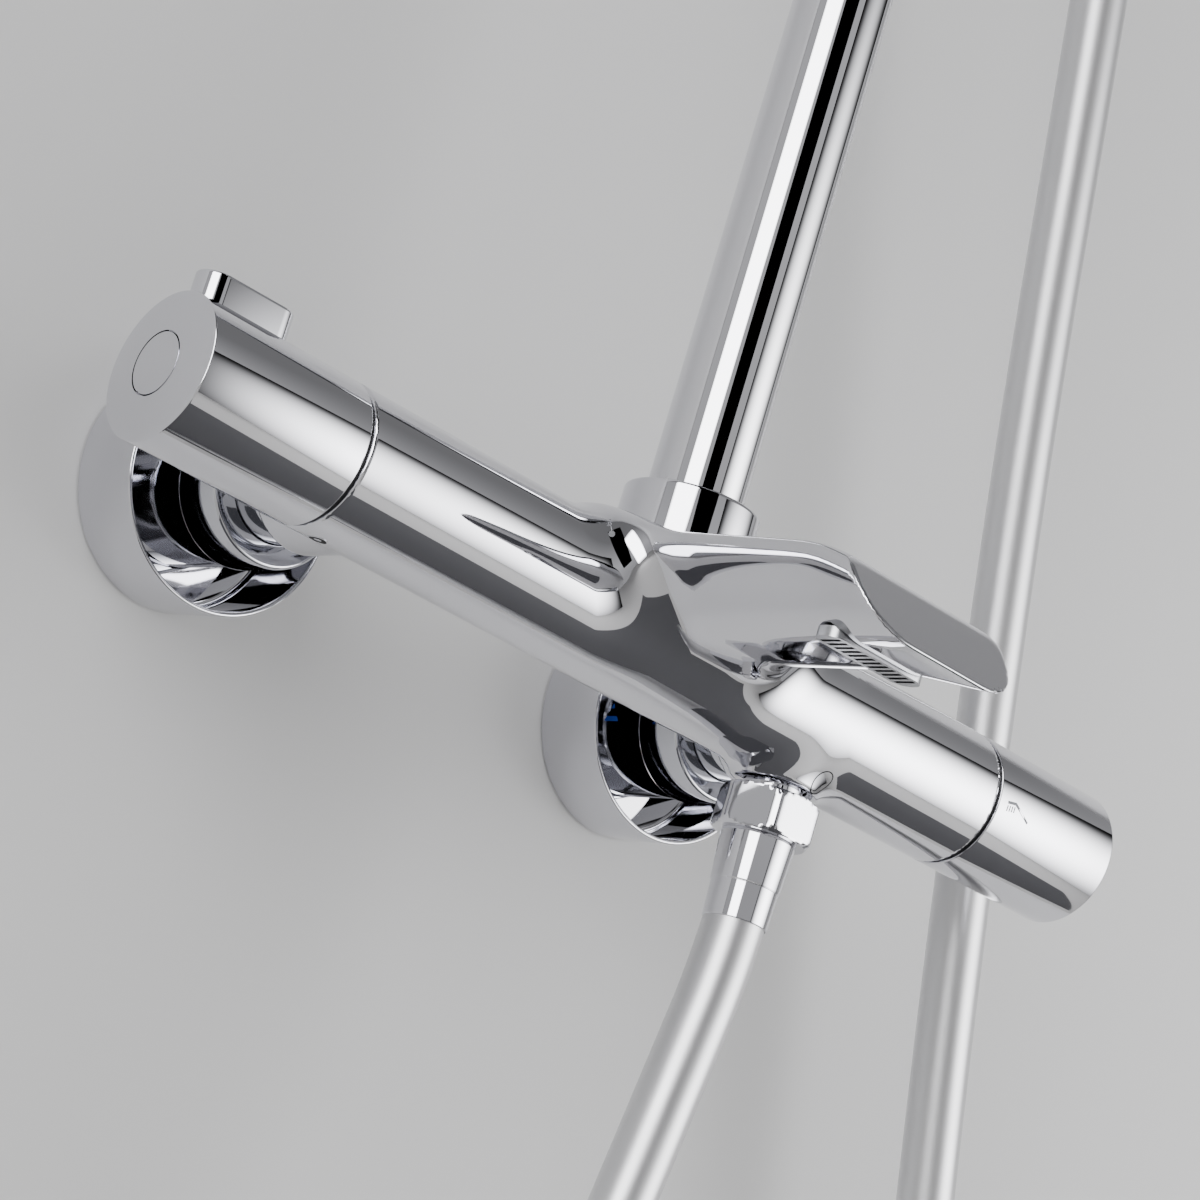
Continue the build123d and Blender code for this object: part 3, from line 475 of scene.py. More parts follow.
def threaded(name, x, pitch=1.814, turns=72):
    """Union with a helical half-inch thread: the radius drops by a triangle wave of s / pitch - t / turn."""
    s_thread = np.linspace(0.4, -20.0, 180)
    s = np.concatenate([[24.2, 24.2, 2.6, 2.5, 0.5], s_thread, [-20.0]])
    r = np.concatenate([[13.2, 17.4, 17.4, 17.2, 10.2], np.full(180, 10.48), [8.0]])
    t = np.linspace(0, 2 * np.pi, turns, endpoint=False)
    wave = np.abs(((s[:, None] / pitch - t[None] / (2 * np.pi)) % 1.0) * 2 - 1)
    fade = np.clip(-s[:, None] / 1.5, 0, 1) * np.clip((20.0 + s[:, None]) / 1.5, 0, 1)
    radius = r[:, None] - 0.95 * wave * fade * (r[:, None] > 10.4)
    radius, s = np.vstack([radius, np.full((1, turns), 8.0)]), np.append(s, 24.2)
    depth = np.broadcast_to(-s[:, None], radius.shape)
    points = np.stack([x + radius * np.cos(t), depth, radius * np.sin(t)], -1)
    return outwards(add_mesh(name, points.reshape(-1, 3), grid_faces(len(s), turns, wrap_rows=True), 40.0))


pair("wall_unions", threaded, "eccentric_unions")
pair("swivel_nuts", lambda n, x: turned(n, nut_profile, (x, 0, 0), (0, -1, 0), 128), "union_nuts")
pair("short_tails", lambda n, x: turned(n, tail_profile, (x, 0, 0), (0, -1, 0), 96), "union_tails")
print("cup depth 21.0, nut", round(38.7 - 24.6, 1), "mm long")

# %% Riser, collar and outlet
COLUMN = (0.0, BAR_Y, 0.0)
tube_profile = section([(14.0, 10.3), (14.0, 11.4), (905.0, 11.4), (905.0, 10.3)], [0.2, 0.3, 0.2])
lathe("riser", tube_profile, COLUMN, (0, 0, 1), 128, "fixed", chrome_tube, "riser_tube", "chrome_tube")
foot_profile = section([(4.0, 11.5), (4.0, 16.2), (27.1, 16.2), (27.1, 11.5)], [0.2, 1.0, 0.5])
lathe("riser_foot_collar", foot_profile, COLUMN, (0, 0, 1), 128, "fixed", chrome, "riser_collar")

OUTLET = (48.0, BAR_Y, 0.0)
ferrule_profile = section([(-36.4, 6.5), (-36.4, 8.85), (-37.2, 8.95), (-48.3, 8.3), (-48.6, 8.2),
                           (-48.7, 8.05), (-57.3, 7.75), (-57.5, 7.45), (-50.5, 7.45), (-50.5, 6.5)],
                          [0.3, 0.3, 0.1, 0, 0.1, 0.15, 0.1, 0, 0])
lathe("crimped_ferrule", ferrule_profile, OUTLET, (0, 0, 1), 128, "fixed", chrome, "hose_ferrule",
      "ferrule_metal")


def hexagon_nut(name, low, high, flats, bore, corner, turns=252):
    """Hexagon nut as one radius for each turn and height: flats / 2 / cos of the turn from the nearest flat,
    with corners eased by a power mean against the corner circle, and both ends chamfered."""
    t = np.linspace(0, 2 * np.pi, turns, endpoint=False)
    flat = flats / 2 / np.cos((t % (np.pi / 3)) - np.pi / 6)
    eased = (flat ** -60 + corner ** -60) ** (-1 / 60)
    ends = np.array([0.25, 0.7, 1.3, 2.0])
    middle = np.linspace(low + 2.8, high - 2.8, 5)
    z = np.concatenate([[low] * 2, low + ends, middle, high - ends[::-1], [high] * 2])
    chamfer = 10.95 + 1.5 * np.minimum(z - low, high - z)
    radius = np.minimum(eased[None], chamfer[:, None])
    radius[0], radius[-1] = bore, bore
    points = np.stack([OUTLET[0] + radius * np.cos(t), OUTLET[1] + radius * np.sin(t),
                       np.broadcast_to(z[:, None], radius.shape)], -1)
    return outwards(add_mesh(name, points.reshape(-1, 3), grid_faces(len(z), turns, wrap_rows=True), 22.0))


nut = settle(hexagon_nut("hose_swivel_nut", -36.5, -26.0, 22.0, 8.35, 12.45), "fixed", chrome, "hose_nut", slot="chrome")
print("hexagon across corners", round(22 / math.cos(math.pi / 6), 1))

# %% [markdown]
# The cast body is one flowing shape: a bar, two inlet bosses, an outlet boss and a tongue-shaped spout that
# melt into each other. It is made as a field, a number for each point of space that is negative inside, with
# shapes blended by a smooth minimum. A net of quads covers the field's zero level, Newton's rule slides each
# net point onto it, and the field's gradient gives the normals, so the mirror finish shows no facets.

# %% Field helpers
def smooth_min(a, b, width):
    """min(a, b) less h * h * width / 4, where h is 1 - |a - b| / width, kept at 0 or above: a fillet."""
    h = np.maximum(1 - np.abs(a - b) / width, 0)
    return np.minimum(a, b) - h * h * width / 4


def smooth_max(a, b, width):
    """max(a, b) with its edge eased in the same way."""
    return -smooth_min(-a, -b, width)


def neighbours(axis, rest):
    """Two windows on an array that lie one cell apart along an axis, and rest along the others."""
    first, second = [rest] * 3, [rest] * 3
    first[axis], second[axis] = slice(0, -1), slice(1, None)
    return tuple(first), tuple(second)


def level_net(field, low, high, step):
    """Net of quads over the field's zero level. A cell that the level crosses gets one point, the mean of
    the crossings on its edges; four cells round each crossed edge make a quad. All of it is whole-array."""
    low, high = np.asarray(low, float), np.asarray(high, float)
    count = np.ceil((high - low) / step).astype(int) + 1
    lines = [low[k] + step * np.arange(count[k]) for k in range(3)]
    net = np.meshgrid(*lines, indexing="ij", sparse=True)
    value = field(*net) + 0 * sum(net)
    inside = value < 0
    cells = tuple(count - 1)
    total, hits = np.zeros(cells + (3,)), np.zeros(cells)
    for axis in range(3):
        first, second = neighbours(axis, slice(None))
        a, b = value[first], value[second]
        crossed = inside[first] != inside[second]
        part = np.where(crossed, a / np.where(crossed, a - b, 1), 0)
        others = [k for k in range(3) if k != axis]
        for shift in ((0, 0), (0, 1), (1, 0), (1, 1)):
            window = [slice(None)] * 3
            for k, i in zip(others, shift):
                window[k] = slice(i, i + cells[k])
            hit = crossed[tuple(window)]
            hits += hit
            total[..., axis] += np.where(hit, part[tuple(window)], 0)
            for k, i in zip(others, shift):
                total[..., k] += hit * i
    used = hits > 0
    number = np.full(cells, -1)
    number[used] = np.arange(used.sum())
    where = np.argwhere(used)
    points = low + step * (where + total[used] / hits[used][:, None])
    faces = []
    for axis in range(3):
        first, second = neighbours(axis, slice(1, -1))
        a, b = inside[first], inside[second]
        base = np.argwhere(a != b)
        outward = a[a != b]
        others = [(axis + 1) % 3, (axis + 2) % 3]
        base[:, others] += 1
        corners = []
        for i, j in ((0, 0), (1, 0), (1, 1), (0, 1)):
            cell = base.copy()
            cell[:, others] -= [1 - i, 1 - j]
            corners.append(number[tuple(cell.T)])
        quad = np.stack(corners, 1)
        faces.append(np.where(outward[:, None], quad, quad[:, ::-1]))
    return points, np.concatenate(faces)


def gradient(field, p, h=0.02):
    """Central differences of the field at points p."""
    return np.stack([(field(*(p + d).T) - field(*(p - d).T)) / (2 * h) for d in h * np.eye(3)], 1)


def cast(name, field, low, high, step, rounds=3):
    """Mesh of a field's zero level, each point slid by -field * gradient / |gradient| squared."""
    points, faces = level_net(field, low, high, step)
    for _ in range(rounds):
        g = gradient(field, points)
        move = (field(*points.T) / np.maximum((g * g).sum(1), 0.2))[:, None] * g
        points = points - np.clip(move, -0.5 * step, 0.5 * step)
    g = gradient(field, points)
    normals = g / np.maximum(np.linalg.norm(g, axis=1), 1e-9)[:, None]
    return add_mesh(name, points, faces, 0, normals)


# %% The casting's field
BOSS_R, BOSS_FRONT, BOSS_BACK = 15.4, -76.0, -49.0
OUTLET_R, OUTLET_END = 9.4, -23.2
CARTRIDGE_R, CARTRIDGE_START = 13.6, 56.0
SPOUT_HALF, LIP_Y, LIP_Z = 26.0, -172.0, 2.2
LIP_RUN, LIP_DROP = 12.5, 15.9
GRILLE_Y, GRILLE_HALF, GRILLE_R = -159.5, 11.2, 4.1


def tongue(x, y, z):
    """The spout, 52 mm wide: the distance inside its top, its upright sides, the two slopes under them and its
    underside, eased where they meet. The top falls 0.068 mm a millimetre and bends down near the front, and
    the slopes start 5.5 mm below it; the underside is level, then falls; a slanted flat cuts the end."""
    ahead = -y
    top = 10.6 - 0.068 * (ahead - 109) - 0.9 * np.logaddexp(0, (ahead - 161) / 3.0)
    under = -9.1 - 0.65 * np.logaddexp(0, (ahead - 152) / 5.0)
    side = np.abs(x)
    upper = smooth_max(z - top, side - SPOUT_HALF, 5.0)
    lower = smooth_max(0.79 * (side - 25.3) - 0.61 * (z - top + 5.5), under - z, 8.0)
    body = smooth_max(upper, lower, 4.0)
    front = (LIP_RUN * (z - LIP_Z) - LIP_DROP * (y - LIP_Y)) / math.hypot(LIP_RUN, LIP_DROP)
    return smooth_max(body, front, 1.0)


def casting(x, y, z):
    """Bar, spout, inlet bosses and outlet boss blended; then ends, bores and the grille's pocket cut."""
    bar = np.hypot(y - BAR_Y, z - BAR_Z) - BAR_R
    shape = smooth_min(bar, tongue(x, y, z), 15.0)
    boss = np.maximum(np.hypot(np.abs(x) - COLD, z) - BOSS_R, BOSS_FRONT - y)
    shape = smooth_min(shape, boss, 7.0)
    outlet = smooth_max(np.hypot(x - OUTLET[0], y - BAR_Y) - OUTLET_R, OUTLET_END - z, 1.5)
    shape = smooth_min(shape, np.maximum(outlet, z), 7.0)
    shape = smooth_max(shape, np.abs(x) - BODY_END, 0.7)
    shape = smooth_max(shape, y - BOSS_BACK, 0.7)
    bore = np.maximum(np.hypot(y - BAR_Y, z - BAR_Z) - CARTRIDGE_R, CARTRIDGE_START - np.abs(x))
    shape = np.maximum(shape, -bore)
    px = np.maximum(np.abs(x) - GRILLE_HALF, 0)
    pocket = np.maximum(np.hypot(px, y - GRILLE_Y) - GRILLE_R, z + 8.6)
    return np.maximum(shape, -pocket)


body_piece = cast("cast_body", casting, (-104.6, -188, -25.5), (104.6, -47.5, 16), 0.85)
settle(body_piece, "fixed", chrome, "mixer_body", slot="chrome")
low, high = body_piece.bound_box[0], body_piece.bound_box[6]
print("cast body faces", len(body_piece.data.polygons), [round(c * 1000, 1) for c in (*low, *high)])

# %% [markdown]
# Small marks on the bar: a sealing plug with a hair-thin groove round it, the grub screw's hole, and the
# sign for the hand shower, which the real bar has as a laser-etched pictogram. They are thin shells that
# follow the bar: a flat point (s along the bar, w round it) lies at the angle w / radius.

# %% Marks that follow the bar
def skin_radius(x, a):
    """Distance from the bar's axis to the casting's skin, by halving the span 40 times at every point."""
    inside, outside = np.full(a.shape, BAR_R - 1.0), np.full(a.shape, BAR_R + 8.0)
    for _ in range(40):
        r = (inside + outside) / 2
        solid = casting(x, BAR_Y - r * np.cos(a), BAR_Z + r * np.sin(a)) < 0
        inside, outside = np.where(solid, r, inside), np.where(solid, outside, r)
    return inside


def wrapped(name, outline, at_x, at_angle, lift, faces=None, on_body=False):
    """Flat points (s, w) in millimetres wrapped onto the bar: y and z come from the cosine and the sine of
    at_angle + w / radius, at the bar's radius plus lift, or at the casting's skin plus lift."""
    n = len(outline)
    x = at_x + outline[:, 0]
    a = math.radians(at_angle) + outline[:, 1] / BAR_R
    r = (skin_radius(x, a) if on_body else BAR_R) + lift
    points = [np.column_stack([x, BAR_Y - k * np.cos(a), BAR_Z + k * np.sin(a)]) for k in (r, r - 0.15)]
    top = faces or [list(range(n))]
    solid = top + [[n + i for i in f][::-1] for f in top]
    edges = dict.fromkeys((i, j) for f in top for i, j in zip(f, f[1:] + f[:1]))
    solid += [[j, i, n + i, n + j] for i, j in edges if (j, i) not in edges]
    return outwards(add_mesh(name, np.vstack(points), solid, 50.0))


def washer_outline(inner, outer, turns=48):
    """Flat ring between two circles, as points and quads."""
    t = np.linspace(0, 2 * np.pi, turns, endpoint=False)
    circle = np.column_stack([np.cos(t), np.sin(t)])
    return np.vstack([inner * circle, outer * circle]), grid_faces(2, turns).tolist()


PLUG, GRUB = (52.6, -55.3), (-96.0, -93.0)
for name, inner, outer, place, lift, material in (
        ("plug_groove", 2.55, 2.85, PLUG, 0.03, groove_dark), ("grub_hole_shadow", 0.9, 2.1, GRUB, 0.03, groove_dark),
        ("grub_hole_edge", 2.05, 2.4, GRUB, 0.05, chrome)):
    ring, quads = washer_outline(inner, outer)
    settle(wrapped(name, ring, *place, lift, quads, True), "fixed", material)


def stroke(start, end, w0, w1):
    """Flat bar between two points, w0 wide at the start and w1 wide at the end."""
    a, b = np.array(start), np.array(end)
    d = (b - a) / np.linalg.norm(b - a)
    side = np.array([-d[1], d[0]])
    return np.array([a + side * w0 / 2, a - side * w0 / 2, b - side * w1 / 2, b + side * w1 / 2])


strokes = [stroke((-3.1, 0.9), (-0.9, 1.3), 0.55, 0.55), stroke((-1.0, 1.3), (3.2, -1.0), 0.55, 0.4)]
for k in range(4):
    strokes.append(stroke((-2.9 + 0.62 * k, 0.35 + 0.1 * k), (-2.9 + 0.62 * k, -0.75 + 0.1 * k), 0.22, 0.22))
sign = [wrapped(f"stroke_{k}", 1.3 * line, 110.6, -3.0, 0.07) for k, line in enumerate(strokes)]
sign = join("hand_shower_sign", sign)
settle(sign, "flow_knob", laser_grey)


def shoulder_mark(at_y, at_z, size, radius=17.4):
    """Triangle, point up, that stands 0.1 mm proud of the cold union's round shoulder."""
    up = size / math.sqrt(3)
    y = np.array([at_y - size / 2, at_y + size / 2, at_y])
    z = np.array([at_z - up / 2, at_z - up / 2, at_z + up])
    x = COLD - np.sqrt((radius + 0.1) ** 2 - z ** 2)
    points = np.vstack([np.column_stack([x, y, z]), np.column_stack([x + 0.3, y, z])])
    faces = [[0, 1, 2], [5, 4, 3], [0, 3, 4, 1], [1, 4, 5, 2], [2, 5, 3, 0]]
    return outwards(add_mesh("cold_mark", points, faces))


settle(shoulder_mark(-13.9, -3.0, 5.0), "fixed", blue_plastic, "cold_marker", slot="blue_mark")
print("marks", PLUG, GRUB, "sign 8 mm wide")

# %% [markdown]
# The upper column: a bent arm, its collar, the ball joint and the rain head, and the wall bracket. The arm is
# a tube carried along straight runs joined by true arcs, as a tube bender leaves it.

# %% Arm and its collar
def bent_line(corners, radii, step=3.0):
    """Straight runs joined by arcs of given radii, as points: tangent length is radius * tan(half turn)."""
    p = np.asarray(corners, float)
    pieces = [p[:1]]
    for before, corner, after, radius in zip(p, p[1:], p[2:], radii):
        ub = (before - corner) / np.linalg.norm(before - corner)
        ua = (after - corner) / np.linalg.norm(after - corner)
        turn = math.pi - math.acos(float(ub @ ua))
        reach = radius * math.tan(turn / 2)
        start = corner + ub * reach
        centre = corner + (ub + ua) / np.linalg.norm(ub + ua) * radius / math.cos(turn / 2)
        t = np.linspace(0, turn, max(int(radius * turn / step), 8))[:, None]
        pieces.append(centre + (start - centre) * np.cos(t) - ub * radius * np.sin(t))
    return np.vstack(pieces + [p[-1:]])


FRONT = BAR_Y - 380.0
arm_line = bent_line([(0, BAR_Y, 860), (0, BAR_Y, 1060), (0, FRONT, 1060), (0, FRONT, 1008)], [80, 35])
arm = carried("swivel_arm", arm_line, 9.5, 96, bore=8.3)
settle(arm, "arm", chrome_tube, "shower_arm", slot="chrome_tube")
collar_profile = section([(893, 11.5), (893, 14.0), (925, 14.0), (925, 9.55), (905.2, 9.55), (905.2, 11.5)],
                         [0.8, 0.8, 0.2, 0.1, 0.1])
lathe("arm_collar_ring", collar_profile, COLUMN, (0, 0, 1), 128, "fixed", chrome, "arm_collar")
stop_profile = section([(925.1, 9.55), (925.1, 12.5), (929, 12.5), (929, 9.55)], [0.5, 0.9, 0.2])
lathe("arm_rest_ring", stop_profile, COLUMN, (0, 0, 1), 128, "arm", chrome, "arm_stop_ring")

# %% Ball joint and rain head
HEAD = (0.0, FRONT, 0.0)
ball_s = np.linspace(math.radians(-68), math.radians(50), 24)
ball = np.column_stack([990 + 11 * np.sin(ball_s), 11 * np.cos(ball_s)])
neck = [(1003.3, 7.0), (1003.5, 7.2), (1003.5, 10.2), (1003.8, 10.5), (1007.7, 10.5), (1008.0, 10.2),
        (1008.0, 8.2), (1019.0, 8.2), (1019.0, 4.0), (979.8, 4.0)]
ball_profile = np.vstack([[(979.8, 4.0)], ball, neck])
lathe("arm_ball_turned", ball_profile, HEAD, (0, 0, 1), 96, "arm", chrome_thin, "arm_ball", "brass")
cup_s = np.linspace(math.radians(-68), 0, 14)
outside = rounded([(970.5, 5.0), (970.5, 17.0), (989.9, 17.0), (989.9, 13.9)], [0, 0.6, 0.3, 0])
inside = np.column_stack([990 + 13.8 * np.sin(cup_s), 13.8 * np.cos(cup_s)])[::-1][1:]
socket_profile = np.vstack([outside, inside, [(970.5, 5.0)]])
lathe("ball_socket", socket_profile, HEAD, (0, 0, 1), 96, "rain_head", chrome, "head_socket")
nut_s = np.linspace(0, math.radians(25), 6)
outside = [(990.1, 11.35), (990.1, 16.7), (990.4, 17.0), (995.8, 17.0), (996.6, 16.4), (997.9, 13.9),
           (998.0, 13.4), (998.0, 10.3), (996.0, 10.25)]
inside = np.column_stack([990 + 11.35 * np.sin(nut_s), 11.35 * np.cos(nut_s)])[::-1]
dome_profile = np.vstack([outside, inside])
lathe("ball_nut", dome_profile, HEAD, (0, 0, 1), 96, "rain_head", chrome, "socket_nut")
shell_profile = section([(970.5, 5.0), (970.5, 26.0), (965.5, 106.0), (962.4, 109.9), (956.0, 110.0),
                         (956.0, 107.0), (962.0, 107.0), (962.0, 5.0)], [3.0, 6.0, 1.5, 0.7, 0.3, 0.5, 0.1])
lathe("rain_head_shell", shell_profile, HEAD, (0, 0, 1), 192, "rain_head", chrome_moulding, "rain_shell",
      "chrome_plastic")

# %% Wall bracket
bracket_profile = section([(0.05, 26.0), (0.05, 27.5), (18.0, 27.5), (18.0, 9.4), (16.6, 9.4), (16.5, 26.0)],
                          [0.3, 2.0, 0.3, 0.2, 1.0])
lathe("bracket_cap", bracket_profile, (0, 0, 850), (0, -1, 0), 128, "fixed", chrome, "bracket_cover")


def clamp_field(x, y, z):
    """Ring round the riser melted into the stem that goes back to the wall; the riser's bore is cut."""
    ring = smooth_max(np.hypot(x, y - BAR_Y) - 17.0, np.abs(z - 850) - 13.0, 1.6)
    stem = np.maximum(np.maximum(np.hypot(x, z - 850) - 9.0, y + 8.0), BAR_Y - y)
    return np.maximum(smooth_min(ring, stem, 6.0), 11.5 - np.hypot(x, y - BAR_Y))


clamp = cast("riser_clamp", clamp_field, (-19, -108, 835), (19, -6, 865), 1.0)
settle(clamp, "fixed", chrome, "bracket_clamp", slot="chrome")

# %% [markdown]
# The slider and the hand shower. The slider's ring and bosses, the slotted cup and the hand shower are
# mouldings with soft fillets, so these are fields as well.

# %% Slider
SLIDER_Z = 622.0
TILT = math.radians(12.0)
CUP_AT = np.array([44.0, -105.0, 621.5])
UP = np.array([0.0, -math.sin(TILT), math.cos(TILT)])
OUT = np.array([0.0, -math.cos(TILT), -math.sin(TILT)])


def segment(x, y, z, a, b):
    """Distance to the segment from a to b."""
    a, d = np.asarray(a, float), np.asarray(b, float) - np.asarray(a, float)
    t = np.clip(((x - a[0]) * d[0] + (y - a[1]) * d[1] + (z - a[2]) * d[2]) / (d @ d), 0, 1)
    return np.sqrt((x - a[0] - t * d[0]) ** 2 + (y - a[1] - t * d[1]) ** 2 + (z - a[2] - t * d[2]) ** 2)


def slider_field(x, y, z):
    """Ring with eased ends, a knob boss on the left and a holder boss on the right."""
    ring = smooth_max(np.hypot(x, y - BAR_Y) - 19.5, np.abs(z - SLIDER_Z) - 22.0, 3.0)
    knob = smooth_max(np.hypot(y - BAR_Y, z - SLIDER_Z) - 10.0, np.maximum(-27.0 - x, x), 1.0)
    reach = 0.934 * (x - 4.0) - 0.358 * (y + 91.0)
    holder = smooth_max(segment(x, y, z, (4, -91, SLIDER_Z), (40, -104.8, SLIDER_Z)) - 9.0, reach - 22.3, 0.8)
    shape = smooth_min(smooth_min(ring, knob, 5.0), holder, 5.0)
    return np.maximum(shape, 13.2 - np.hypot(x, y - BAR_Y))


slider_piece = cast("slider_ring", slider_field, (-29, -112, 598), (32, -67, 646), 0.9)
settle(slider_piece, "slider", chrome_moulding, "slider_body", slot="chrome_plastic")


def knob_lobes(name, x0, x1, turns=192):
    """Clamp knob: radius 13.2 plus 0.8 mm lobes, a cosine of 8 turns; its ends are eased."""
    t = np.linspace(0, 2 * np.pi, turns, endpoint=False)
    s = np.array([x1, x1, x1 - 0.3, x1 - 0.9, x0 + 2.5, x0 + 1.2, x0 + 0.4, x0, x0])
    ease = np.array([0.0, 0.94, 0.98, 1.0, 1.0, 0.97, 0.92, 0.84, 0.0])
    radius = ease[:, None] * (12.9 + 0.8 * np.cos(8 * t))[None] + 0.01
    across = np.broadcast_to(s[:, None], radius.shape)
    points = np.stack([across, BAR_Y + radius * np.cos(t), SLIDER_Z + radius * np.sin(t)], -1)
    ends = [list(range(turns))[::-1], list(range((len(s) - 1) * turns, len(s) * turns))]
    faces = grid_faces(len(s), turns).tolist() + ends
    return outwards(add_mesh(name, points.reshape(-1, 3), faces, 35.0))


settle(knob_lobes("slider_clamp_knob", -45.0, -27.3), "slider_knob", chrome_moulding, "slider_knob",
       slot="chrome_plastic")

# %% Handset
def along(x, y, z):
    """Coordinates on the handset's own axis: s up it, a to the right, b towards the user."""
    dx, dy, dz = x - CUP_AT[0], y - CUP_AT[1], z - CUP_AT[2]
    return dy * UP[1] + dz * UP[2], dx, dy * OUT[1] + dz * OUT[2]


FACE_TILT = math.radians(16.0)
FACE_AT = np.array([22.0, 208.0])


def handset_field(x, y, z):
    """Handle that swells upwards, melted into a shallow round head whose spray face is a flat cut."""
    s, a, b = along(x, y, z)
    radius = 12.3 - 1.6 * np.exp(-((s - 75) / 45) ** 2) + 0.4 * np.clip((s - 120) / 60, 0, 1)
    grip = np.maximum(np.hypot(a, b) - radius, np.maximum(20.1 - s, s - 182))
    up, out = s - FACE_AT[1], b - FACE_AT[0]
    n = out * math.cos(FACE_TILT) - up * math.sin(FACE_TILT)
    f = up * math.cos(FACE_TILT) + out * math.sin(FACE_TILT)
    rim = np.hypot(a, f)
    back = 13.0 + 7.5 * np.clip(1 - (rim / 52.0) ** 2, 0, 1)
    head = smooth_max(smooth_max(rim - 52.0, -n - back, 5.0), n, 1.2)
    shape = np.maximum(smooth_min(grip, head, 16.0), n)
    face = np.maximum(rim - 49.0, -8.0 - n)
    return np.maximum(shape, -face)


low, high = [np.array(c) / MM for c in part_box("handset_shell")]
shell = cast("hand_shower_shell", handset_field, low - 2, high + 2, 1.25)
settle(shell, "handset", chrome_moulding, "handset_shell", slot="chrome_plastic")


def holder_field(x, y, z):
    """Slotted cup on its link: a tapered wall round the cone, melted into the link, cut open at the front."""
    s, a, b = along(x, y, z)
    round_cup = smooth_max(np.hypot(a, b) - (16.2 + 0.037 * s), np.abs(s) - 16.0, 1.6)
    reach = 0.934 * (x - 25.3) - 0.358 * (y + 98.7)
    link = np.maximum(segment(x, y, z, (20, -96.8, SLIDER_Z), (40, -104.0, SLIDER_Z)) - 8.9, 0.05 - reach)
    shape = smooth_min(round_cup, link, 4.0)
    shape = np.maximum(shape, 11.85 + 0.0432 * s - np.hypot(a, b))
    slot = np.maximum(np.abs(a) - 9.3, -b)
    return smooth_max(shape, -slot, 0.8)


holder = cast("hand_shower_holder", holder_field, (22, -128, 598), (64, -82, 646), 0.8)
settle(holder, "slider", chrome_moulding, "handset_holder", slot="chrome_plastic")
cone_profile = section([(-24, 4.6), (-24, 10.4), (20, 12.3), (20, 9.05), (4.2, 9.05), (4.2, 4.6)],
                       [0.8, 0.8, 0.2, 0.1, 0.1])
lathe("hose_cone", cone_profile, CUP_AT, UP, 128, "handset", chrome, "handset_cone_nut")
sleeve_s = np.linspace(-84.0, -24.1, 121)
groove = (np.sin(2 * np.pi * sleeve_s / 5.0) > 0.2) * (sleeve_s < -32) * (sleeve_s > -80)
ribs = 8.2 + 1.1 * (sleeve_s + 84) / 60 - 0.35 * groove
sleeve_profile = np.vstack([np.column_stack([sleeve_s, ribs]), [(-24.1, 7.46), (-84.0, 7.46), (-84.0, 8.2)]])
lathe("anti_kink_sleeve", sleeve_profile, CUP_AT, UP, 96, "handset", sleeve_grey, "hose_sleeve", "black_rubber")
print("handset faces", len(shell.data.polygons), "holder faces", len(holder.data.polygons))

# %% [markdown]
# The pieces whose CAD shape is already right keep it and only get their real finish.

# %% Finishes of the CAD pieces that stay
KEPT = {
    steel: ["spout_grille", "body_grub_screw", "temperature_knob_screw", "flow_knob_screw", "bracket_base",
            "bracket_screws", "stop_button_spring"],
    chrome: ["body_plug", "outlet_nipple"],
    brass: ["thermostat_spindle", "diverter_spindle"],
    rubber: ["hose_washer", "union_washers", "riser_seal", "handset_washer"],
    acetal: ["thermostat_sleeve", "diverter_sleeve", "arm_bush", "slider_liner", "ball_seat_ring", "check_valves"],
    ceramic: ["ceramic_disc_fixed", "ceramic_disc_moving"],
    dark_seal: ["gap_rings"],
    face_grey: ["rain_face", "handset_face"],
    silicone: ["rain_nozzles", "handset_nozzles"],
    copper: ["thermostat_element"],
}
for material, names in KEPT.items():
    for name in names:
        nodes[name].data.materials.clear()
        nodes[name].data.materials.append(material)
print("kept", sum(len(v) for v in KEPT.values()), "of", len(nodes))

# %% [markdown]
# The room: a pale floor, a pale wall and soft light. Chrome shows little but the room, so the light comes
# from large soft panels, bright in the middle and fading at their edges, with a dark card between the two in
# front. The panels and cards show only in reflections.

# %% Floor and wall
def matt(name, colour):
    """Matt paint with a faint cloudiness 400 mm across."""
    return finish_of(name, colour, 0.0, 0.85, 0.05, 400.0)


def flat(name, corners, material):
    """One four-cornered stage plane, in metres."""
    plane = add_mesh(name, np.array(corners) / MM, [[0, 1, 2, 3]], 0)
    plane.data.materials.append(material)
    return plane


def unseen(plane, diffuse=False):
    """Only reflections see the plane; with diffuse, matt surfaces are lit by it too."""
    plane.visible_camera = plane.visible_shadow = False
    plane.visible_diffuse = diffuse


def one_sided(material):
    """The back of the surface lets the eye through, so that the column can be looked at from behind."""
    tree = material.node_tree
    shader, output = tree.nodes["Principled BSDF"], tree.nodes["Material Output"]
    side = add_node(tree, "ShaderNodeNewGeometry").outputs["Backfacing"]
    clear = add_node(tree, "ShaderNodeBsdfTransparent").outputs["BSDF"]
    mix = add_node(tree, "ShaderNodeMixShader", [(0, side), (1, shader.outputs["BSDF"]), (2, clear)])
    tree.links.new(mix.outputs["Shader"], output.inputs["Surface"])
    return material


FLOOR_Z = -0.43
WALL_Y = 0.0005
flat("floor", [(x, y, FLOOR_Z) for x, y in ((-6, -6), (6, -6), (6, 6), (-6, 6))], matt("pale floor paint", "#DAD9D6"))
flat("wall", [(x, WALL_Y, z) for x, z in ((-4, FLOOR_Z), (4, FLOOR_Z), (4, 4), (-4, 4))],
     one_sided(matt("pale grey wall paint", "#E3E3E4")))


# %% Soft panels and dark cards
def direction(azimuth, elevation):
    """Unit vector; azimuth 0 looks out of the wall towards the room and 90 to the right."""
    a, e = math.radians(azimuth), math.radians(elevation)
    return np.array([math.sin(a) * math.cos(e), -math.cos(a) * math.cos(e), math.sin(e)])


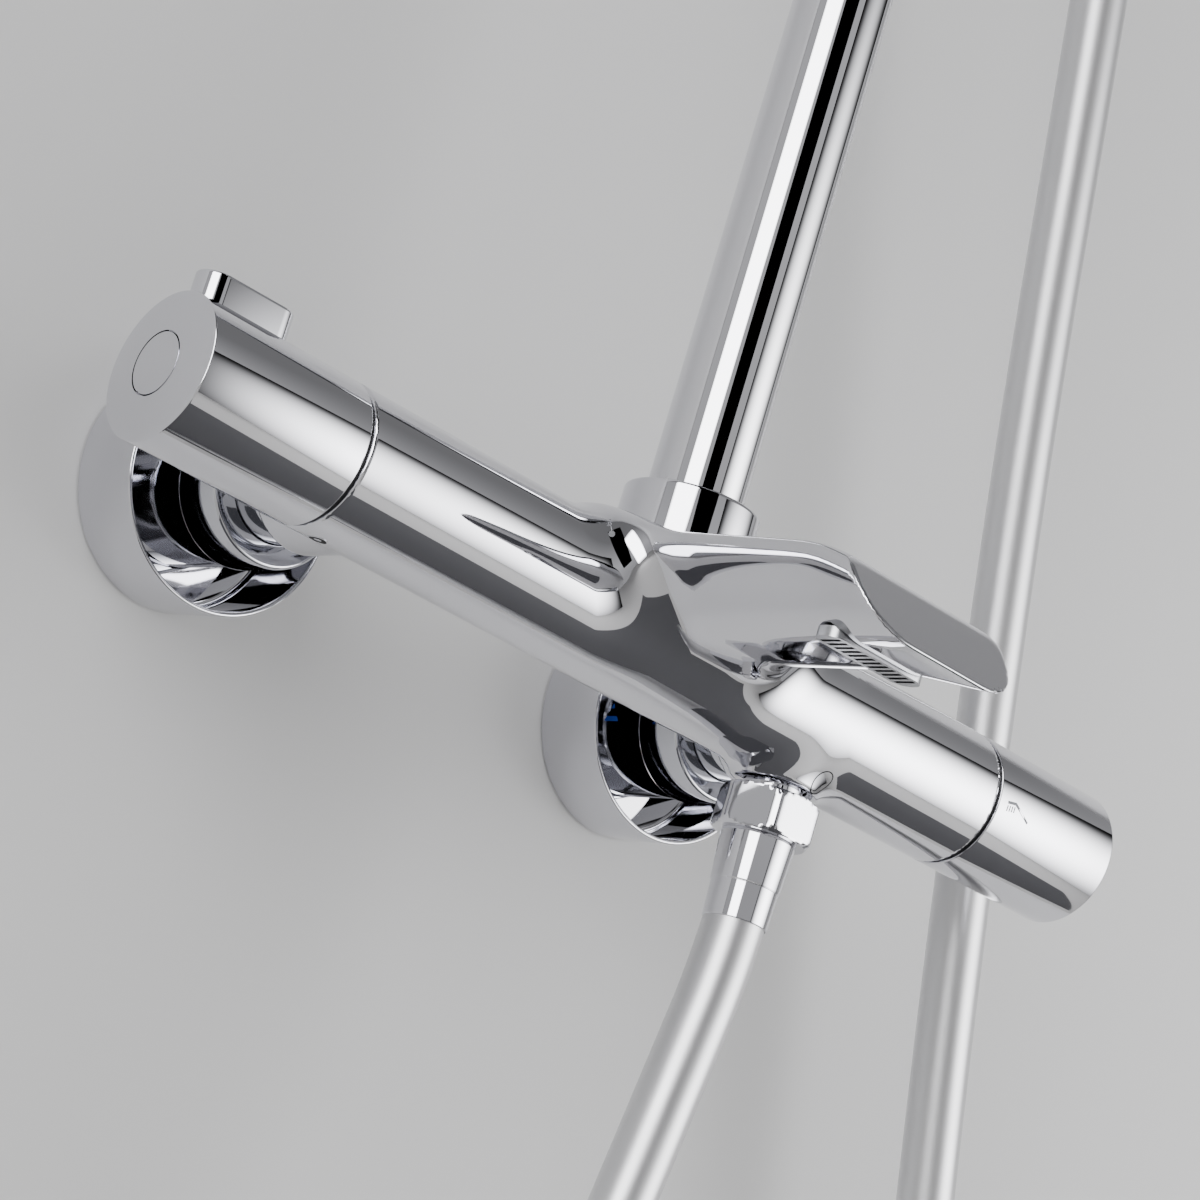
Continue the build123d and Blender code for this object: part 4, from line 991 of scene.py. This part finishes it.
def panel(name, azimuth, elevation, distance, width, height, strength=0.0, fade=0.5, shine=1.0):
    """Panel that faces the bar. Its light is strength * smooth(1 - |u|) * smooth(1 - |v|), where u and v run
    from -1 to 1 over it and smooth rises over the share fade; reflections see it shine times as bright.
    Strength 0 makes a black card."""
    out = direction(azimuth, elevation)
    side = np.cross((0.0, 0.0, 1.0), out)
    side /= np.linalg.norm(side)
    up = np.cross(out, side)
    middle = np.array([0.0, -0.089, 0.0]) + out * distance
    signs = ((-1, -1), (1, -1), (1, 1), (-1, 1))
    corners = [middle + i * side * width / 2 + j * up * height / 2 for i, j in signs]
    material = bpy.data.materials.new(name)
    material.use_nodes = True
    tree = material.node_tree
    tree.nodes.remove(tree.nodes["Principled BSDF"])
    glow = add_node(tree, "ShaderNodeEmission", Strength=strength)
    plane = flat(name, corners, material)
    uv = plane.data.uv_layers.new(name="panel")
    uv.data.foreach_set("uv", np.ravel(signs).astype(float))
    if strength:
        where = add_node(tree, "ShaderNodeUVMap", uv_map="panel").outputs["UV"]
        parts = add_node(tree, "ShaderNodeSeparateXYZ", [("Vector", where)])
        level = []
        for k, peak in enumerate((1.0, strength)):
            size = add_node(tree, "ShaderNodeMath", [(0, parts.outputs[k])], operation="ABSOLUTE")
            level.append(add_node(tree, "ShaderNodeMapRange", [("Value", size.outputs[0])], From_Min=1.0,
                                  From_Max=1.0 - fade, To_Max=peak, interpolation_type="SMOOTHSTEP"))
        mirror = add_node(tree, "ShaderNodeLightPath").outputs["Is Glossy Ray"]
        gain = add_node(tree, "ShaderNodeMath", [(0, mirror)], operation="MULTIPLY_ADD")
        gain.inputs[1].default_value, gain.inputs[2].default_value = shine - 1.0, 1.0
        total = gain
        for factor in level:
            total = add_node(tree, "ShaderNodeMath", [(0, total.outputs[0]), (1, factor.outputs[0])],
                             operation="MULTIPLY")
        tree.links.new(total.outputs[0], glow.inputs["Strength"])
    tree.links.new(glow.outputs[0], tree.nodes["Material Output"].inputs["Surface"])
    unseen(plane, diffuse=strength > 0)


panel("right soft panel", 47, 0, 0.82, 1.15, 1.16, 5.9, 1.0, 1.6)
panel("left soft panel", -57, 22, 1.9, 1.25, 2.2, 3.4, 0.25, 3.0)
panel("front dark card", -18, 42, 1.5, 0.8, 2.0)
card_corners = ((-0.35, -0.78), (0.65, -0.26), (0.65, -0.04), (-0.35, -0.04))
unseen(flat("floor dark card", [(x, y, FLOOR_Z + 0.002) for x, y in card_corners], matt("dark card", "#565658")))


# %% Sky of the studio
def studio_world():
    """Grey surround whose brightness follows the height of the direction: brightest at the horizon."""
    world = bpy.data.worlds.new("studio")
    bpy.context.scene.world = world
    world.use_nodes = True
    tree = world.node_tree
    where = add_node(tree, "ShaderNodeTexCoord").outputs["Generated"]
    height = add_node(tree, "ShaderNodeSeparateXYZ", [("Vector", where)]).outputs["Z"]
    ramp = add_node(tree, "ShaderNodeValToRGB", [("Fac", height)])
    stops = [(0.0, 0.45), (0.25, 0.62), (0.55, 0.42), (0.8, 0.22), (1.0, 0.2)]
    ramp.color_ramp.elements[0].position, ramp.color_ramp.elements[1].position = stops[0][0], stops[-1][0]
    for at, level in stops[1:-1]:
        ramp.color_ramp.elements.new(at)
    for element, (at, level) in zip(ramp.color_ramp.elements, stops):
        element.color = (level, level, level * 1.01, 1.0)
    tree.links.new(ramp.outputs["Color"], tree.nodes["Background"].inputs["Color"])
    tree.nodes["Background"].inputs["Strength"].default_value = 1.0


studio_world()
